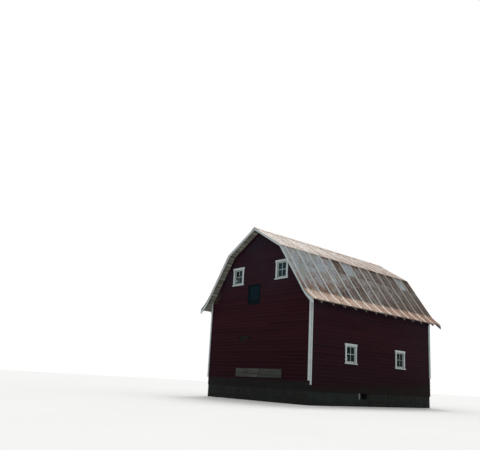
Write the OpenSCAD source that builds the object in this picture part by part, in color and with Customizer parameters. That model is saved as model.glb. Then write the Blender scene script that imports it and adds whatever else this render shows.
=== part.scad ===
// Small gambrel barn with bell-cast eaves: a boarded timber frame on a low foundation,
// under ribbed metal roofing. Lengths are millimetres.
// The origin is the middle of the plan at the foot of the foundation.
// The front gable faces -Y and the wall with the two low windows that show faces +X.

/* [Walls] */
// Width over the siding of the two side walls
wall_w = 5300; // [4900:10:5900]
// Length over the siding of the two gable walls
wall_l = 7390; // [6600:10:8600]
// Height of the side walls, from the foundation to the seat of the rafters
wall_h = 3060; // [2900:10:3300]
// Thickness of the lapped siding
siding_t = 20; // [15:1:25]
// Thickness of the boards under the siding
sheathing_t = 25; // [20:1:30]
// Depth of the wall studs
stud_d = 95; // [90:1:120]
// Thickness of studs, plates, joists and rafters
lumber_t = 45; // [38:1:50]
// Widest spacing of the gable studs
stud_pitch = 630; // [400:10:700]
// Height of the bare boards that show under the front siding
bare_base_h = 300; // [100:10:350]

/* [Foundation] */
// Height of the foundation, down to the lowest ground
foundation_h = 450; // [300:10:700]
// Thickness of the foundation walls
foundation_t = 250; // [240:10:320]
// How far the siding stands out past the foundation
foundation_inset = 25; // [10:1:35]
// Width of the vent in each long foundation wall
vent_w = 330; // [200:10:400]
// Height of the vent
vent_h = 200; // [100:10:250]
// Distance of the vent's middle from the front siding
vent_from_front = 2955; // [2400:10:3300]

/* [Floors] */
// Thickness of the floor boards
floor_t = 25; // [20:1:35]
// Depth of the joists under the ground floor
ground_joist_d = 140; // [120:5:180]
// Depth of the joists under the loft floor
loft_joist_d = 190; // [160:5:240]
// Height of the side walls above the loft floor
knee_h = 490; // [350:10:600]
// Depth of the ledger board that carries the loft joists
ledger_d = 140; // [100:5:180]
// Widest spacing of the joists
joist_pitch = 610; // [400:10:700]
// Gap between a floor and the wall frame round it
floor_gap = 5; // [2:1:10]

/* [Roof form] */
// Pitch of the upper slopes, in degrees
upper_pitch = 31.5; // [26:0.5:36]
// Pitch of the lower slopes, in degrees
lower_pitch = 55.4; // [50:0.2:60]
// Pitch of the flared eaves, in degrees
flare_pitch = 38.4; // [34:0.2:44]
// Distance of the roof's break from the ridge, level, along the rafters' top
break_x = 1405; // [1250:5:1550]
// How far inside the siding the lower slope meets the flare
kick_in = 41; // [20:1:80]
// Height of the rafters' top over the wall, where slope and flare meet
heel_h = 152; // [145:1:180]
// Radius of the curve between slope and flare, along the rafters' top
flare_r = 1500; // [1000:50:1800]
// How far the eaves reach past the siding, level
eave_reach = 375; // [320:5:420]
// How far the roofing reaches past the gable siding
gable_reach = 330; // [250:5:450]

/* [Roof frame] */
// Depth of the rafters
rafter_d = 120; // [100:5:150]
// Spacing of the rafters
rafter_pitch = 611; // [500:1:700]
// Distance of the first rafter tail's middle from the gable siding
tail_inset = 189; // [185:1:230]
// Depth of the rafter tails
tail_d = 75; // [60:1:85]
// How far the rafter tails stop short of the eave's edge
tail_back = 75; // [50:5:120]
// Thickness of the ridge board
ridge_board_t = 25; // [20:1:40]
// Depth of the ridge board
ridge_board_d = 170; // [150:5:200]
// Thickness of the roof boards
deck_t = 25; // [20:1:30]
// Gap between the roof boards of the two slopes at the ridge
deck_gap = 10; // [6:1:20]
// Reach of the gusset plates along both rafters from the roof's break
gusset_reach = 240; // [150:10:300]
// Thickness of the gusset plates
gusset_t = 18; // [12:1:22]

/* [Roofing] */
// Thickness of the roofing sheets
sheet_t = 4; // [2:0.5:6]
// How far the sheets drip past the roof boards at the eaves
drip = 20; // [10:1:40]
// Spacing of the ribs
rib_pitch = 606; // [500:1:650]
// Distance of the first rib's middle from the front edge of the roofing
rib_first = 195; // [120:1:300]
// Width of a rib at its foot
rib_w = 56; // [40:1:80]
// Width of a rib at its top
rib_top_w = 30; // [20:1:38]
// Height of a rib over the sheet
rib_h = 24; // [16:1:32]
// Distance down the lower slope from its break to the end of the upper sheets
lap_down = 720; // [500:10:900]
// How far the ribs of the upper sheets stand off those of the lower ones
lap_shift = 9; // [0:1:12]
// Length of each wing of the ridge cap, down the slope
cap_wing = 150; // [120:5:220]

/* [Trim] */
// Depth of the boards along the gable edges of the roof
rake_d = 70; // [50:5:120]
// Thickness of every trim board
trim_t = 22; // [18:1:28]
// How far the roofing stands out past the rake boards
rake_drip = 10; // [5:1:20]
// Width of the corner boards
corner_w = 85; // [70:5:150]
// Open joint between two trim boards
board_joint = 2; // [1:0.5:4]
// Height of the foot of the front left corner boards over the foundation
front_left_foot = 290; // [0:10:400]
// Height of the foot of the front right corner board on the gable
front_right_foot = 330; // [0:10:400]
// Height of the foot of the front right corner board on the side
side_right_foot = 200; // [0:10:400]
// Height of the feet of the back corner boards
back_foot = 730; // [0:10:800]

/* [Windows] */
// Width of the opening of a low window
low_window_w = 490; // [440:5:560]
// Width of the opening of a loft window
loft_window_w = 450; // [400:5:560]
// Height of a window opening
window_h = 590; // [520:10:650]
// Height of the ground floor window sills over the foundation
low_sill_h = 1020; // [900:5:1200]
// Distance of the first low window's middle from the front siding
low_window_first = 2131; // [1600:10:2400]
// Spacing of the two low windows
low_window_pitch = 3061; // [2600:10:3400]
// Drop from the roof's break to the head of the left loft window
loft_head_drop = 540; // [500:5:650]
// How much higher the right loft window sits than the left one
loft_window_step = 30; // [0:5:60]
// Place of the left loft window's middle
loft_window_left = -1115; // [-1150:5:-1000]
// Place of the right loft window's middle
loft_window_right = 1220; // [1050:5:1260]
// Width of the casings beside an opening
casing_w = 76; // [60:2:120]
// Height of the casing over an opening
head_h = 75; // [70:5:110]
// Height of the sill under an opening
sill_h = 40; // [35:5:60]
// How far the sill reaches past the siding
sill_reach = 45; // [30:5:60]
// How far the head and the sill run past the casings
ear = 28; // [5:1:40]
// Thickness of a sash
sash_t = 35; // [30:1:40]
// Width of the sash stiles and of the top rail
stile_w = 38; // [35:1:55]
// Width of the bottom rail of a sash
bottom_rail_w = 55; // [45:1:85]
// Play round a sash, a hatch or a door in its opening
play = 2; // [1:0.5:4]
// Width of the stop that a sash, a hatch or a door bears on
stop_w = 15; // [10:1:20]
// Thickness of the glass
glass_t = 4; // [3:0.5:6]
// Depth and width of the rebate for the glass
rebate = 10; // [6:1:14]
// Width of the bar between two panes
bar_w = 20; // [16:1:30]

/* [Hatch, door and patch] */
// Width of the hay hatch
hatch_w = 690; // [500:10:760]
// Height of the hay hatch
hatch_h = 760; // [600:10:820]
// Place of the hatch's middle
hatch_x = -200; // [-230:5:-150]
// Height of the hatch over the loft floor
hatch_over_floor = 425; // [380:5:500]
// How far the hatch lies behind the siding
hatch_recess = 15; // [5:1:20]
// Width of the door in the back gable
door_w = 900; // [800:10:1000]
// Height of the door
door_h = 1950; // [1850:10:2020]
// How far the door lies behind the siding
door_recess = 8; // [4:1:15]
// Left end of the pale boards nailed over the foot of the front wall
patch_left = -975; // [-1100:5:-800]
// Place of the joint between the two pale boards
patch_joint = 270; // [100:5:400]
// Right end of the pale boards
patch_right = 1400; // [1200:5:1500]
// Height of the pale boards
patch_h = 310; // [250:10:350]
// Height of the foot of the pale boards over the bare base boards
patch_lift = 60; // [20:5:120]
// Width of the gap at the joint of the pale boards
patch_gap = 14; // [6:1:20]

/* [Hidden] */

// Colours
barn_red = [0.36, 0.07, 0.08];
white_paint = [0.86, 0.87, 0.87];
grey_wood = [0.52, 0.47, 0.42];
new_wood = [0.62, 0.50, 0.37];
pale_wood = [0.66, 0.63, 0.58];
concrete = [0.55, 0.54, 0.51];
hatch_teal = [0.06, 0.20, 0.24];
glass_tint = [0.35, 0.45, 0.48];
rusty_sheet = [0.60, 0.47, 0.42];

// Planes of the walls, measured from the middle of the plan
half_w = wall_w / 2;
half_l = wall_l / 2;
skin_t = siding_t + sheathing_t;
frame_w = half_w - skin_t;
frame_l = half_l - skin_t;
room_w = frame_w - stud_d;
room_l = frame_l - stud_d;
base_w = half_w - foundation_inset;
base_l = half_l - foundation_inset;

// Levels, measured from the foot of the foundation
wall_top = foundation_h + wall_h;
floor_z = foundation_h + ground_joist_d + floor_t;
loft_z = wall_top - knee_h;
loft_joist_z = loft_z - floor_t - loft_joist_d;

// Levels and places along the rafters' top line
kick_x = half_w - kick_in;
kick_z = wall_top + heel_h;
break_z = kick_z + (kick_x - break_x) * tan(lower_pitch);
ridge_z = break_z + break_x * tan(upper_pitch);
eave_x = half_w + eave_reach;
roof_l = half_l + gable_reach;
deck_l = roof_l - rake_drip - trim_t;
sheet_d = deck_t + sheet_t;
lap_d = sheet_d + sheet_t;
rib_root_d = deck_t + sheet_t / 2;
rib_d = sheet_d + rib_h;
lap_rib_d = lap_d + rib_h;

// Levels of the openings
low_sill_z = foundation_h + low_sill_h;
loft_sill_z = break_z - loft_head_drop - window_h;
hatch_z = loft_z + hatch_over_floor;
low_windows = [
    low_window_first - half_l,
    low_window_first + low_window_pitch - half_l
];
loft_windows = [[loft_window_left, loft_sill_z], [loft_window_right, loft_sill_z + loft_window_step]];

// Steps that draw the curve of the flare, and facets of a full turn of its ribs
arc_steps = 8;
turn_facets = 180;

// The roof line. Each function takes the distance d out from the rafters' top, square to it.
function out_from(p, turn_low, turn_high, d) =
    let (mid = (turn_low + turn_high) / 2, half = (turn_high - turn_low) / 2)
    p + d / cos(half) * [sin(mid), cos(mid)];
function upper_at(x, d) = [x, ridge_z + d / cos(upper_pitch) - x * tan(upper_pitch)];
function break_at(d) = out_from([break_x, break_z], upper_pitch, lower_pitch, d);
function lower_at(x, d) = [x, kick_z + d / cos(lower_pitch) - (x - kick_x) * tan(lower_pitch)];
function flare_at(x, d) = [x, kick_z + d / cos(flare_pitch) - (x - kick_x) * tan(flare_pitch)];
flare_centre = out_from([kick_x, kick_z], flare_pitch, lower_pitch, flare_r);
function flare_arc(d) = [
    for (i = [0:arc_steps])
        let (turn = lower_pitch + (flare_pitch - lower_pitch) * i / arc_steps)
        flare_centre - (flare_r - d) * [sin(turn), cos(turn)]
];
function up_upper(s, d) = break_at(d) + s * [-cos(upper_pitch), sin(upper_pitch)];
function down_lower(s, d) = break_at(d) + s * [cos(lower_pitch), -sin(lower_pitch)];
function reversed(list) = [for (i = [len(list) - 1:-1:0]) list[i]];
function mirrored(list) = [for (p = list) [-p[0], p[1]]];

// A stretch of roof between two distances out from the rafters' top
function upper_band(x0, d0, d1) = [upper_at(x0, d0), upper_at(x0, d1), break_at(d1), break_at(d0)];
function lower_line(x1, d) = concat([break_at(d)], flare_arc(d), [flare_at(x1, d)]);
function lower_band(x1, d0, d1) = concat(lower_line(x1, d1), reversed(lower_line(x1, d0)));

// All that lies under the rafters' top, down to the foundation
under_roof = let (side = concat([[0, ridge_z]], lower_line(eave_x, 0), [[eave_x, foundation_h]]))
    concat(side, reversed(mirrored(side)));

// Evenly spread places between two ends, no wider apart than a pitch
function spread(reach, pitch) =
    let (bays = ceil(2 * reach / pitch))
    [for (i = [0:bays]) -reach + 2 * reach * i / bays];

// Rafters stand beside their tails; the last pair is set from the back gable
tail_last = half_l - tail_inset;
tail_bays = floor((2 * tail_last - 2 * lumber_t) / rafter_pitch);
tail_places = concat([for (i = [0:tail_bays]) -tail_last + i * rafter_pitch], [tail_last]);
rafter_places = concat([for (i = [0:tail_bays]) tail_places[i] + lumber_t], [tail_last - lumber_t]);
joist_places = spread(room_l - floor_gap - lumber_t / 2, joist_pitch);
rib_places = [for (y = [-roof_l + rib_first:rib_pitch:roof_l - rib_w]) y];

// Extrusions of an outline drawn in X and Z, or in Y and Z
module across(y0, t) translate([0, y0 + t, 0]) rotate([90, 0, 0]) linear_extrude(t) children();
module along(x0, t) translate([x0, 0, 0]) rotate([90, 0, 90]) linear_extrude(t) children();
module both_sides() {
    children();
    mirror([1, 0, 0]) children();
}

// Walls seen from outside: X runs to the right and the siding's face is at Y = 0
module on_front() translate([0, -half_l, 0]) children();
module on_back() translate([0, half_l, 0]) rotate([0, 0, 180]) children();
module on_right() translate([half_w, 0, 0]) rotate([0, 0, 90]) children();
module on_left() translate([-half_w, 0, 0]) rotate([0, 0, -90]) children();

// An opening, listed as its middle, its foot, its width and its height
loft_holes = [for (place = loft_windows) [place[0], place[1], loft_window_w, window_h]];
right_holes = [for (u = low_windows) [u, low_sill_z, low_window_w, window_h]];
left_holes = [for (u = low_windows) [-u, low_sill_z, low_window_w, window_h]];
hatch_hole = [hatch_x, hatch_z, hatch_w, hatch_h];
door_hole = [0, floor_z, door_w, door_h];

module hole_2d(hole, grow = 0)
    translate([hole[0] - hole[2] / 2 - grow, hole[1] - grow])
        square([hole[2] + 2 * grow, hole[3] + 2 * grow]);

// Foundation
module foundation_long(side) {
    vent_y = vent_from_front - half_l;
    color(concrete) difference() {
        translate([side > 0 ? base_w - foundation_t : -base_w, -base_l, 0])
            cube([foundation_t, 2 * base_l, foundation_h]);
        translate([side * (base_w - foundation_t / 2) - foundation_t, vent_y - vent_w / 2, foundation_h - vent_h])
            cube([2 * foundation_t, vent_w, 2 * vent_h]);
    }
}
module foundation_short(side)
    color(concrete) translate([foundation_t - base_w, side > 0 ? base_l - foundation_t : -base_l, 0])
        cube([2 * (base_w - foundation_t), foundation_t, foundation_h]);
module foundation_front() foundation_short(-1);
module foundation_back() foundation_short(1);
module foundation_left() foundation_long(-1);
module foundation_right() foundation_long(1);

// Floors
module joists(z, depth)
    for (y = joist_places)
        translate([floor_gap - room_w, y - lumber_t / 2, z])
            cube([2 * (room_w - floor_gap), lumber_t, depth]);
module floor_boards(z)
    translate([floor_gap - room_w, floor_gap - room_l, z])
        cube([2 * (room_w - floor_gap), 2 * (room_l - floor_gap), floor_t]);
module ground_joists() color(new_wood) joists(foundation_h, ground_joist_d);
module ground_floor() color(grey_wood) floor_boards(floor_z - floor_t);
module loft_joists() color(new_wood) joists(loft_joist_z, loft_joist_d);
module loft_floor() color(grey_wood) floor_boards(loft_z - floor_t);
module loft_ledgers()
    color(new_wood) both_sides()
        translate([room_w - lumber_t, -room_l, loft_joist_z - ledger_d])
            cube([lumber_t, 2 * room_l, ledger_d]);

// Wall frames: plates, studs and a ring of studs round each opening
module framed(holes) {
    difference() {
        union() {
            children();
            for (hole = holes) hole_2d(hole, lumber_t - stop_w);
        }
        for (hole = holes) hole_2d(hole, -stop_w);
    }
}
module stud_2d(u, top) translate([u - lumber_t / 2, foundation_h]) square([lumber_t, top - foundation_h]);
module gable_frame(holes)
    color(new_wood) across(skin_t, stud_d) intersection() {
        polygon(under_roof);
        framed(holes) {
            translate([-room_w, foundation_h]) square([2 * room_w, lumber_t]);
            for (u = spread(room_w - lumber_t / 2, stud_pitch)) stud_2d(u, ridge_z);
        }
    }
module side_frame(holes, studs)
    color(new_wood) across(skin_t, stud_d) framed(holes) {
        translate([-frame_l, foundation_h]) square([2 * frame_l, lumber_t]);
        translate([-frame_l, wall_top - 2 * lumber_t]) square([2 * frame_l, 2 * lumber_t]);
        for (u = studs) stud_2d(u, wall_top);
    }
side_studs = concat(rafter_places, [lumber_t / 2 - frame_l, frame_l - lumber_t / 2]);
module front_wall_frame() on_front() gable_frame(concat(loft_holes, [hatch_hole]));
module back_wall_frame() on_back() gable_frame(concat(loft_holes, [door_hole]));
module left_wall_frame() on_left() side_frame(left_holes, -side_studs);
module right_wall_frame() on_right() side_frame(right_holes, side_studs);

// Wall skins: sheathing boards under lapped siding
module gable_layer(y0, t, foot, holes)
    across(y0, t) difference() {
        intersection() {
            polygon(under_roof);
            translate([-half_w, foot]) square([wall_w, ridge_z]);
        }
        for (hole = holes) hole_2d(hole);
    }
module gable_skin(foot, holes)
    color(barn_red) {
        gable_layer(0, siding_t, foot, holes);
        gable_layer(siding_t, sheathing_t, foundation_h, holes);
    }
module side_skin(holes)
    color(barn_red) across(0, skin_t) difference() {
        translate([-frame_l, foundation_h]) square([2 * frame_l, wall_h]);
        for (hole = holes) hole_2d(hole);
    }
module front_wall() on_front() gable_skin(foundation_h + bare_base_h, concat(loft_holes, [hatch_hole]));
module back_wall() on_back() gable_skin(foundation_h, concat(loft_holes, [door_hole]));
module left_wall() on_left() side_skin(left_holes);
module right_wall() on_right() side_skin(right_holes);

// Pale boards nailed over the foot of the front siding
module front_patch_boards() {
    z = foundation_h + bare_base_h + patch_lift;
    color(pale_wood) on_front() across(-trim_t, trim_t) {
        translate([patch_left, z]) square([patch_joint - patch_gap / 2 - patch_left, patch_h]);
        translate([patch_joint + patch_gap / 2, z]) square([patch_right - patch_joint - patch_gap / 2, patch_h]);
    }
}

// Corner boards: one on the gable that covers the edge of one on the side wall
module gable_corner_board(side, foot)
    color(white_paint) across(-trim_t, trim_t) intersection() {
        polygon(under_roof);
        translate([side > 0 ? half_w + trim_t - corner_w : -half_w - trim_t, foundation_h + foot])
            square([corner_w, wall_h]);
    }
module side_corner_board(end, foot)
    color(white_paint) across(-trim_t, trim_t)
        translate([end > 0 ? half_l - corner_w : board_joint - half_l, foundation_h + foot])
            square([corner_w - board_joint, flare_at(half_w + trim_t, 0)[1] - foundation_h - foot]);
module front_corner_boards() {
    on_front() gable_corner_board(-1, front_left_foot);
    on_front() gable_corner_board(1, front_right_foot);
    on_left() side_corner_board(1, front_left_foot);
    on_right() side_corner_board(-1, side_right_foot);
}
module back_corner_boards() {
    on_back() gable_corner_board(-1, back_foot);
    on_back() gable_corner_board(1, back_foot);
    on_left() side_corner_board(-1, back_foot);
    on_right() side_corner_board(1, back_foot);
}

// A casing of two side boards, a head and a sloping sill, round an opening
module casing(hole) {
    wide = hole[2] + 2 * casing_w;
    translate([hole[0], 0, hole[1]]) {
        for (side = [-1, 1])
            translate([side * (hole[2] + casing_w) / 2 - casing_w / 2, -trim_t, 0])
                cube([casing_w, trim_t, hole[3]]);
        translate([-wide / 2 - ear, -trim_t, hole[3]]) cube([wide + 2 * ear, trim_t, head_h]);
        translate([-wide / 2 - ear, 0, 0]) rotate([90, 0, 90]) linear_extrude(wide + 2 * ear)
            polygon([[0, 0], [0, -sill_h], [-sill_reach, -sill_h], [-sill_reach, -sill_h / 4], [-trim_t, 0]]);
    }
}

// A sash: a ring of stiles and rails, rebated from outside for the glass
sight_h = window_h - 2 * play - stile_w - bottom_rail_w;
function sight_w(hole) = hole[2] - 2 * play - 2 * stile_w;
module sight_2d(hole, grow = 0)
    translate([-sight_w(hole) / 2 - grow, play + bottom_rail_w - grow])
        square([sight_w(hole) + 2 * grow, sight_h + 2 * grow]);
module sash(hole)
    translate([hole[0], 0, hole[1]]) {
        across(skin_t - sash_t, rebate) difference() {
            translate([-hole[2] / 2 + play, play]) square([hole[2] - 2 * play, hole[3] - 2 * play]);
            sight_2d(hole, rebate);
        }
        across(skin_t - sash_t + rebate, sash_t - rebate) difference() {
            translate([-hole[2] / 2 + play, play]) square([hole[2] - 2 * play, hole[3] - 2 * play]);
            sight_2d(hole);
        }
    }
module pane_layer(hole)
    translate([hole[0], 0, hole[1]]) across(skin_t - sash_t + rebate - glass_t, glass_t) children();
module pane(hole) pane_layer(hole) sight_2d(hole, rebate - play);

// The front left loft window has lost its upper left pane
module broken_pane(hole) {
    wide = sight_w(hole);
    pane_w = (wide - bar_w) / 2;
    pane_h = (sight_h - bar_w) / 2;
    edge = rebate - play;
    pane_layer(hole) translate([-wide / 2, play + bottom_rail_w]) {
        translate([-edge, -edge]) square([wide + 2 * edge, pane_h + edge]);
        translate([pane_w + bar_w, pane_h + bar_w]) square([pane_w + edge, pane_h + edge]);
    }
}
module loft_casings() color(white_paint) {
    on_front() for (hole = loft_holes) casing(hole);
    on_back() for (hole = loft_holes) casing(hole);
}
module loft_sashes() color(white_paint) {
    on_front() for (hole = loft_holes) sash(hole);
    on_back() for (hole = loft_holes) sash(hole);
}
module loft_glass() color(glass_tint) {
    on_front() broken_pane(loft_holes[0]);
    on_front() pane(loft_holes[1]);
    on_back() for (hole = loft_holes) pane(hole);
}
module low_casings() color(white_paint) {
    on_left() for (hole = left_holes) casing(hole);
    on_right() for (hole = right_holes) casing(hole);
}
module low_sashes() color(white_paint) {
    on_left() for (hole = left_holes) sash(hole);
    on_right() for (hole = right_holes) sash(hole);
}
module low_glass() color(glass_tint) {
    on_left() for (hole = left_holes) pane(hole);
    on_right() for (hole = right_holes) pane(hole);
}

// Hatch and door, each bearing on the stop of the wall frame behind it
module leaf(hole, recess) across(recess, skin_t - recess) hole_2d(hole, -play);
module hay_hatch() color(hatch_teal) on_front() leaf(hatch_hole, hatch_recess);
module back_door() color(barn_red) on_back() leaf(door_hole, door_recess);
module back_door_casing() color(white_paint) on_back() casing(door_hole);

// Roof frame
module ridge_board()
    color(new_wood) across(-room_l, 2 * room_l) polygon([
        upper_at(0, 0), upper_at(ridge_board_t / 2, 0), [ridge_board_t / 2, ridge_z - ridge_board_d],
        [-ridge_board_t / 2, ridge_z - ridge_board_d], [-ridge_board_t / 2, upper_at(ridge_board_t / 2, 0)[1]]
    ]);
module upper_rafters()
    color(new_wood) both_sides() for (y = rafter_places)
        across(y - lumber_t / 2, lumber_t) polygon(upper_band(ridge_board_t / 2, -rafter_d, 0));
module lower_rafters()
    color(new_wood) both_sides() for (y = rafter_places)
        across(y - lumber_t / 2, lumber_t) intersection() {
            polygon(lower_band(eave_x, -rafter_d, 0));
            translate([0, wall_top]) square([frame_w, ridge_z]);
        }
// Plates on both faces of each rafter, over the joint at the roof's break
module rafter_gussets()
    color(new_wood) both_sides() for (y = rafter_places)
        for (face = [y - lumber_t / 2 - gusset_t, y + lumber_t / 2])
            across(face, gusset_t) polygon([
                up_upper(gusset_reach, 0), break_at(0), down_lower(gusset_reach, 0),
                down_lower(gusset_reach, -rafter_d), up_upper(gusset_reach, -rafter_d)
            ]);
module rafter_tails() {
    tail_x = eave_x - tail_back;
    color(grey_wood) both_sides() for (y = tail_places)
        across(y - lumber_t / 2, lumber_t) intersection() {
            polygon(under_roof);
            polygon([
                [room_w, wall_top], [half_w, wall_top], flare_at(half_w, -tail_d),
                flare_at(tail_x, -tail_d), [tail_x, ridge_z], [room_w, ridge_z]
            ]);
        }
}

// Roof boards
module upper_roof_boards()
    color(grey_wood) both_sides() across(-deck_l, 2 * deck_l)
        polygon(upper_band(deck_gap / 2, 0, deck_t));
module lower_roof_boards()
    color(grey_wood) both_sides() across(-deck_l, 2 * deck_l)
        polygon(lower_band(eave_x - drip, 0, deck_t));

// Ribbed roofing. A rib is a trapezoid that runs along the roof line, round the flare, with its
// foot inside the sheet. On the lower slope the upper sheets lap over the lower ones.
module rib_2d(top_d)
    polygon([
        [-rib_root_d, -rib_w / 2], [-top_d, -rib_top_w / 2],
        [-top_d, rib_top_w / 2], [-rib_root_d, rib_w / 2]
    ]);
module run(start, pitch, length)
    translate([start[0], 0, start[1]]) rotate([0, 90 + pitch, 0]) linear_extrude(length) children();
module turn_of_flare()
    translate([flare_centre[0], 0, flare_centre[1]]) rotate([90, 0, 0]) rotate([0, 0, 270 - lower_pitch])
        rotate_extrude(angle = lower_pitch - flare_pitch, $fn = turn_facets)
            translate([flare_r, 0]) children();
module upper_rib(top_d) run(upper_at(0, 0), upper_pitch, 2 * break_x) rib_2d(top_d);
module lap_rib(top_d) run(down_lower(-rib_w, 0), lower_pitch, rib_w + lap_down) rib_2d(top_d);
module lower_rib(top_d) {
    curve = flare_arc(0);
    run(down_lower(-rib_w, 0), lower_pitch, rib_w + norm(curve[0] - break_at(0))) rib_2d(top_d);
    turn_of_flare() rib_2d(top_d);
    run(curve[arc_steps], flare_pitch, 2 * eave_reach) rib_2d(top_d);
}
module ribs(shift, outline)
    intersection() {
        across(-roof_l, 2 * roof_l) polygon(outline);
        for (y = rib_places) translate([0, y + shift, 0]) children();
    }
module upper_roofing()
    color(rusty_sheet) {
        across(-roof_l, 2 * roof_l) polygon(upper_band(deck_gap / 2, deck_t, sheet_d));
        ribs(lap_shift, upper_band(deck_gap / 2, 0, lap_rib_d)) upper_rib(rib_d);
    }
function lap_band(d0, d1) = [break_at(d0), break_at(d1), down_lower(lap_down, d1), down_lower(lap_down, d0)];
module lower_roofing()
    color(rusty_sheet) {
        across(-roof_l, 2 * roof_l) polygon(lower_band(eave_x, deck_t, sheet_d));
        across(-roof_l, 2 * roof_l) polygon(lap_band(deck_t, lap_d));
        ribs(0, lower_band(eave_x, 0, lap_rib_d)) lower_rib(rib_d);
        ribs(lap_shift, lap_band(0, lap_rib_d + sheet_t)) lap_rib(lap_rib_d);
    }
module upper_roofing_left() mirror([1, 0, 0]) upper_roofing();
module upper_roofing_right() upper_roofing();
module lower_roofing_left() mirror([1, 0, 0]) lower_roofing();
module lower_roofing_right() lower_roofing();

// The ridge cap rides on the ribs
module ridge_cap() {
    low = rib_d;
    high = low + sheet_t;
    wing_x = cap_wing * cos(upper_pitch);
    color(rusty_sheet) across(-roof_l, 2 * roof_l) polygon([
        upper_at(0, high), upper_at(wing_x, high), upper_at(wing_x, low), upper_at(0, low),
        mirrored([upper_at(wing_x, low)])[0], mirrored([upper_at(wing_x, high)])[0]
    ]);
}

// Rake boards: an upper and a lower board on each slope of a gable
module rake_boards() {
    low = deck_t - rake_d;
    color(white_paint) across(-trim_t, trim_t) both_sides() {
        polygon(upper_band(board_joint / 2, low, deck_t));
        difference() {
            polygon(lower_band(eave_x - drip, low, deck_t));
            polygon([
                break_at(low - rake_d), break_at(deck_t + rake_d),
                down_lower(board_joint, deck_t + rake_d), down_lower(board_joint, low - rake_d)
            ]);
        }
    }
}
module front_rake_boards() translate([0, -deck_l, 0]) rake_boards();
module back_rake_boards() translate([0, deck_l, 0]) rotate([0, 0, 180]) rake_boards();

foundation_front();
foundation_back();
foundation_left();
foundation_right();
ground_joists();
ground_floor();
loft_ledgers();
loft_joists();
loft_floor();
front_wall_frame();
back_wall_frame();
left_wall_frame();
right_wall_frame();
front_wall();
back_wall();
left_wall();
right_wall();
front_patch_boards();
front_corner_boards();
back_corner_boards();
loft_casings();
loft_sashes();
loft_glass();
low_casings();
low_sashes();
low_glass();
hay_hatch();
back_door_casing();
back_door();
ridge_board();
upper_rafters();
lower_rafters();
rafter_gussets();
rafter_tails();
upper_roof_boards();
lower_roof_boards();
upper_roofing_left();
upper_roofing_right();
lower_roofing_left();
lower_roofing_right();
ridge_cap();
front_rake_boards();
back_rake_boards();
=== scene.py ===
"""The finish of a small red gambrel barn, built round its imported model.

Metres, +Z up. The front gable faces -Y, the wall with the two low windows that show faces +X.
A wall has its own coordinates, seen from outside: u runs to the right, z runs up, and depth runs
inwards from the face of the siding.
"""

import math
import random
from functools import partial

import bmesh
import bpy
from mathutils import Matrix, Vector, noise


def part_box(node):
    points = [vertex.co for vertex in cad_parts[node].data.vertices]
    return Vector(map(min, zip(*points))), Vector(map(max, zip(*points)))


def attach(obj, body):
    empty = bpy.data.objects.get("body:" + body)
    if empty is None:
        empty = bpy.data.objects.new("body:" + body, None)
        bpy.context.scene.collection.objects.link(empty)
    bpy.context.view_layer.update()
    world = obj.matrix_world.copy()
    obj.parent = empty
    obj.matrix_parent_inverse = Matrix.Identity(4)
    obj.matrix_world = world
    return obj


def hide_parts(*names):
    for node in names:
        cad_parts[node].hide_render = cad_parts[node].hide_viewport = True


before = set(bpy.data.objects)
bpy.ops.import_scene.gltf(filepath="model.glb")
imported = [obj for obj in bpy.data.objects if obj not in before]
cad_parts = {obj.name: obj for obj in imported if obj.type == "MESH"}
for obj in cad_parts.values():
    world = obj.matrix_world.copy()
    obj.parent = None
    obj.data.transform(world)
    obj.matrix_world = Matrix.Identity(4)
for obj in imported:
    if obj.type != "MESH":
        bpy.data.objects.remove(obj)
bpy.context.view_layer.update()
ROOT = "root"

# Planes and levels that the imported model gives
HALF_W, _, WALL_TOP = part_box("right_wall")[1]
HALF_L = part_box("back_wall")[1].y
BASE_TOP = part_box("foundation_right")[1].z
EAVE_X, ROOF_L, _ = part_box("lower_roofing_right")[1]
DECK_EAVE_X, DECK_L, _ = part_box("lower_roof_boards")[1]

# Wall layers, and the least gap that keeps two faces apart
SIDING_T = 0.020
SKIN_T = 0.045
TRIM_T = 0.022
BARE_BASE_H = 0.30
HAIR = 0.001

# Roof line, along the top of the rafters
UPPER_PITCH = math.radians(31.5)
LOWER_PITCH = math.radians(55.4)
FLARE_PITCH = math.radians(38.4)
BREAK_X = 1.405
KICK_IN = 0.041
HEEL_H = 0.152
FLARE_R = 1.5
DECK_T = 0.025


def normal_of(pitch):
    return Vector((math.sin(pitch), math.cos(pitch)))


def clamp(value, low=0.0, high=1.0):
    return max(low, min(high, value))


def smooth(value, low, high):
    """0 below low, 1 above high, and smooth between them."""
    t = clamp((value - low) / (high - low))
    return t * t * (3 - 2 * t)


def wave(place, size, height):
    """A smooth random rise and fall."""
    return height * noise.noise(Vector(place) / size)


def steps(left, right, longest=0.2):
    """Places between two ends, no wider apart than the longest step."""
    count = max(1, math.ceil(abs(right - left) / longest))
    return [left + (right - left) * i / count for i in range(count + 1)]


KICK = Vector((HALF_W - KICK_IN, WALL_TOP + HEEL_H))
BREAK = Vector((BREAK_X, KICK.y + (KICK.x - BREAK_X) * math.tan(LOWER_PITCH)))
RIDGE_Z = BREAK.y + BREAK_X * math.tan(UPPER_PITCH)
BREAK_HALF = (LOWER_PITCH - UPPER_PITCH) / 2
KICK_HALF = (LOWER_PITCH - FLARE_PITCH) / 2
FLARE_CENTRE = KICK + FLARE_R / math.cos(KICK_HALF) * normal_of((LOWER_PITCH + FLARE_PITCH) / 2)


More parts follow.
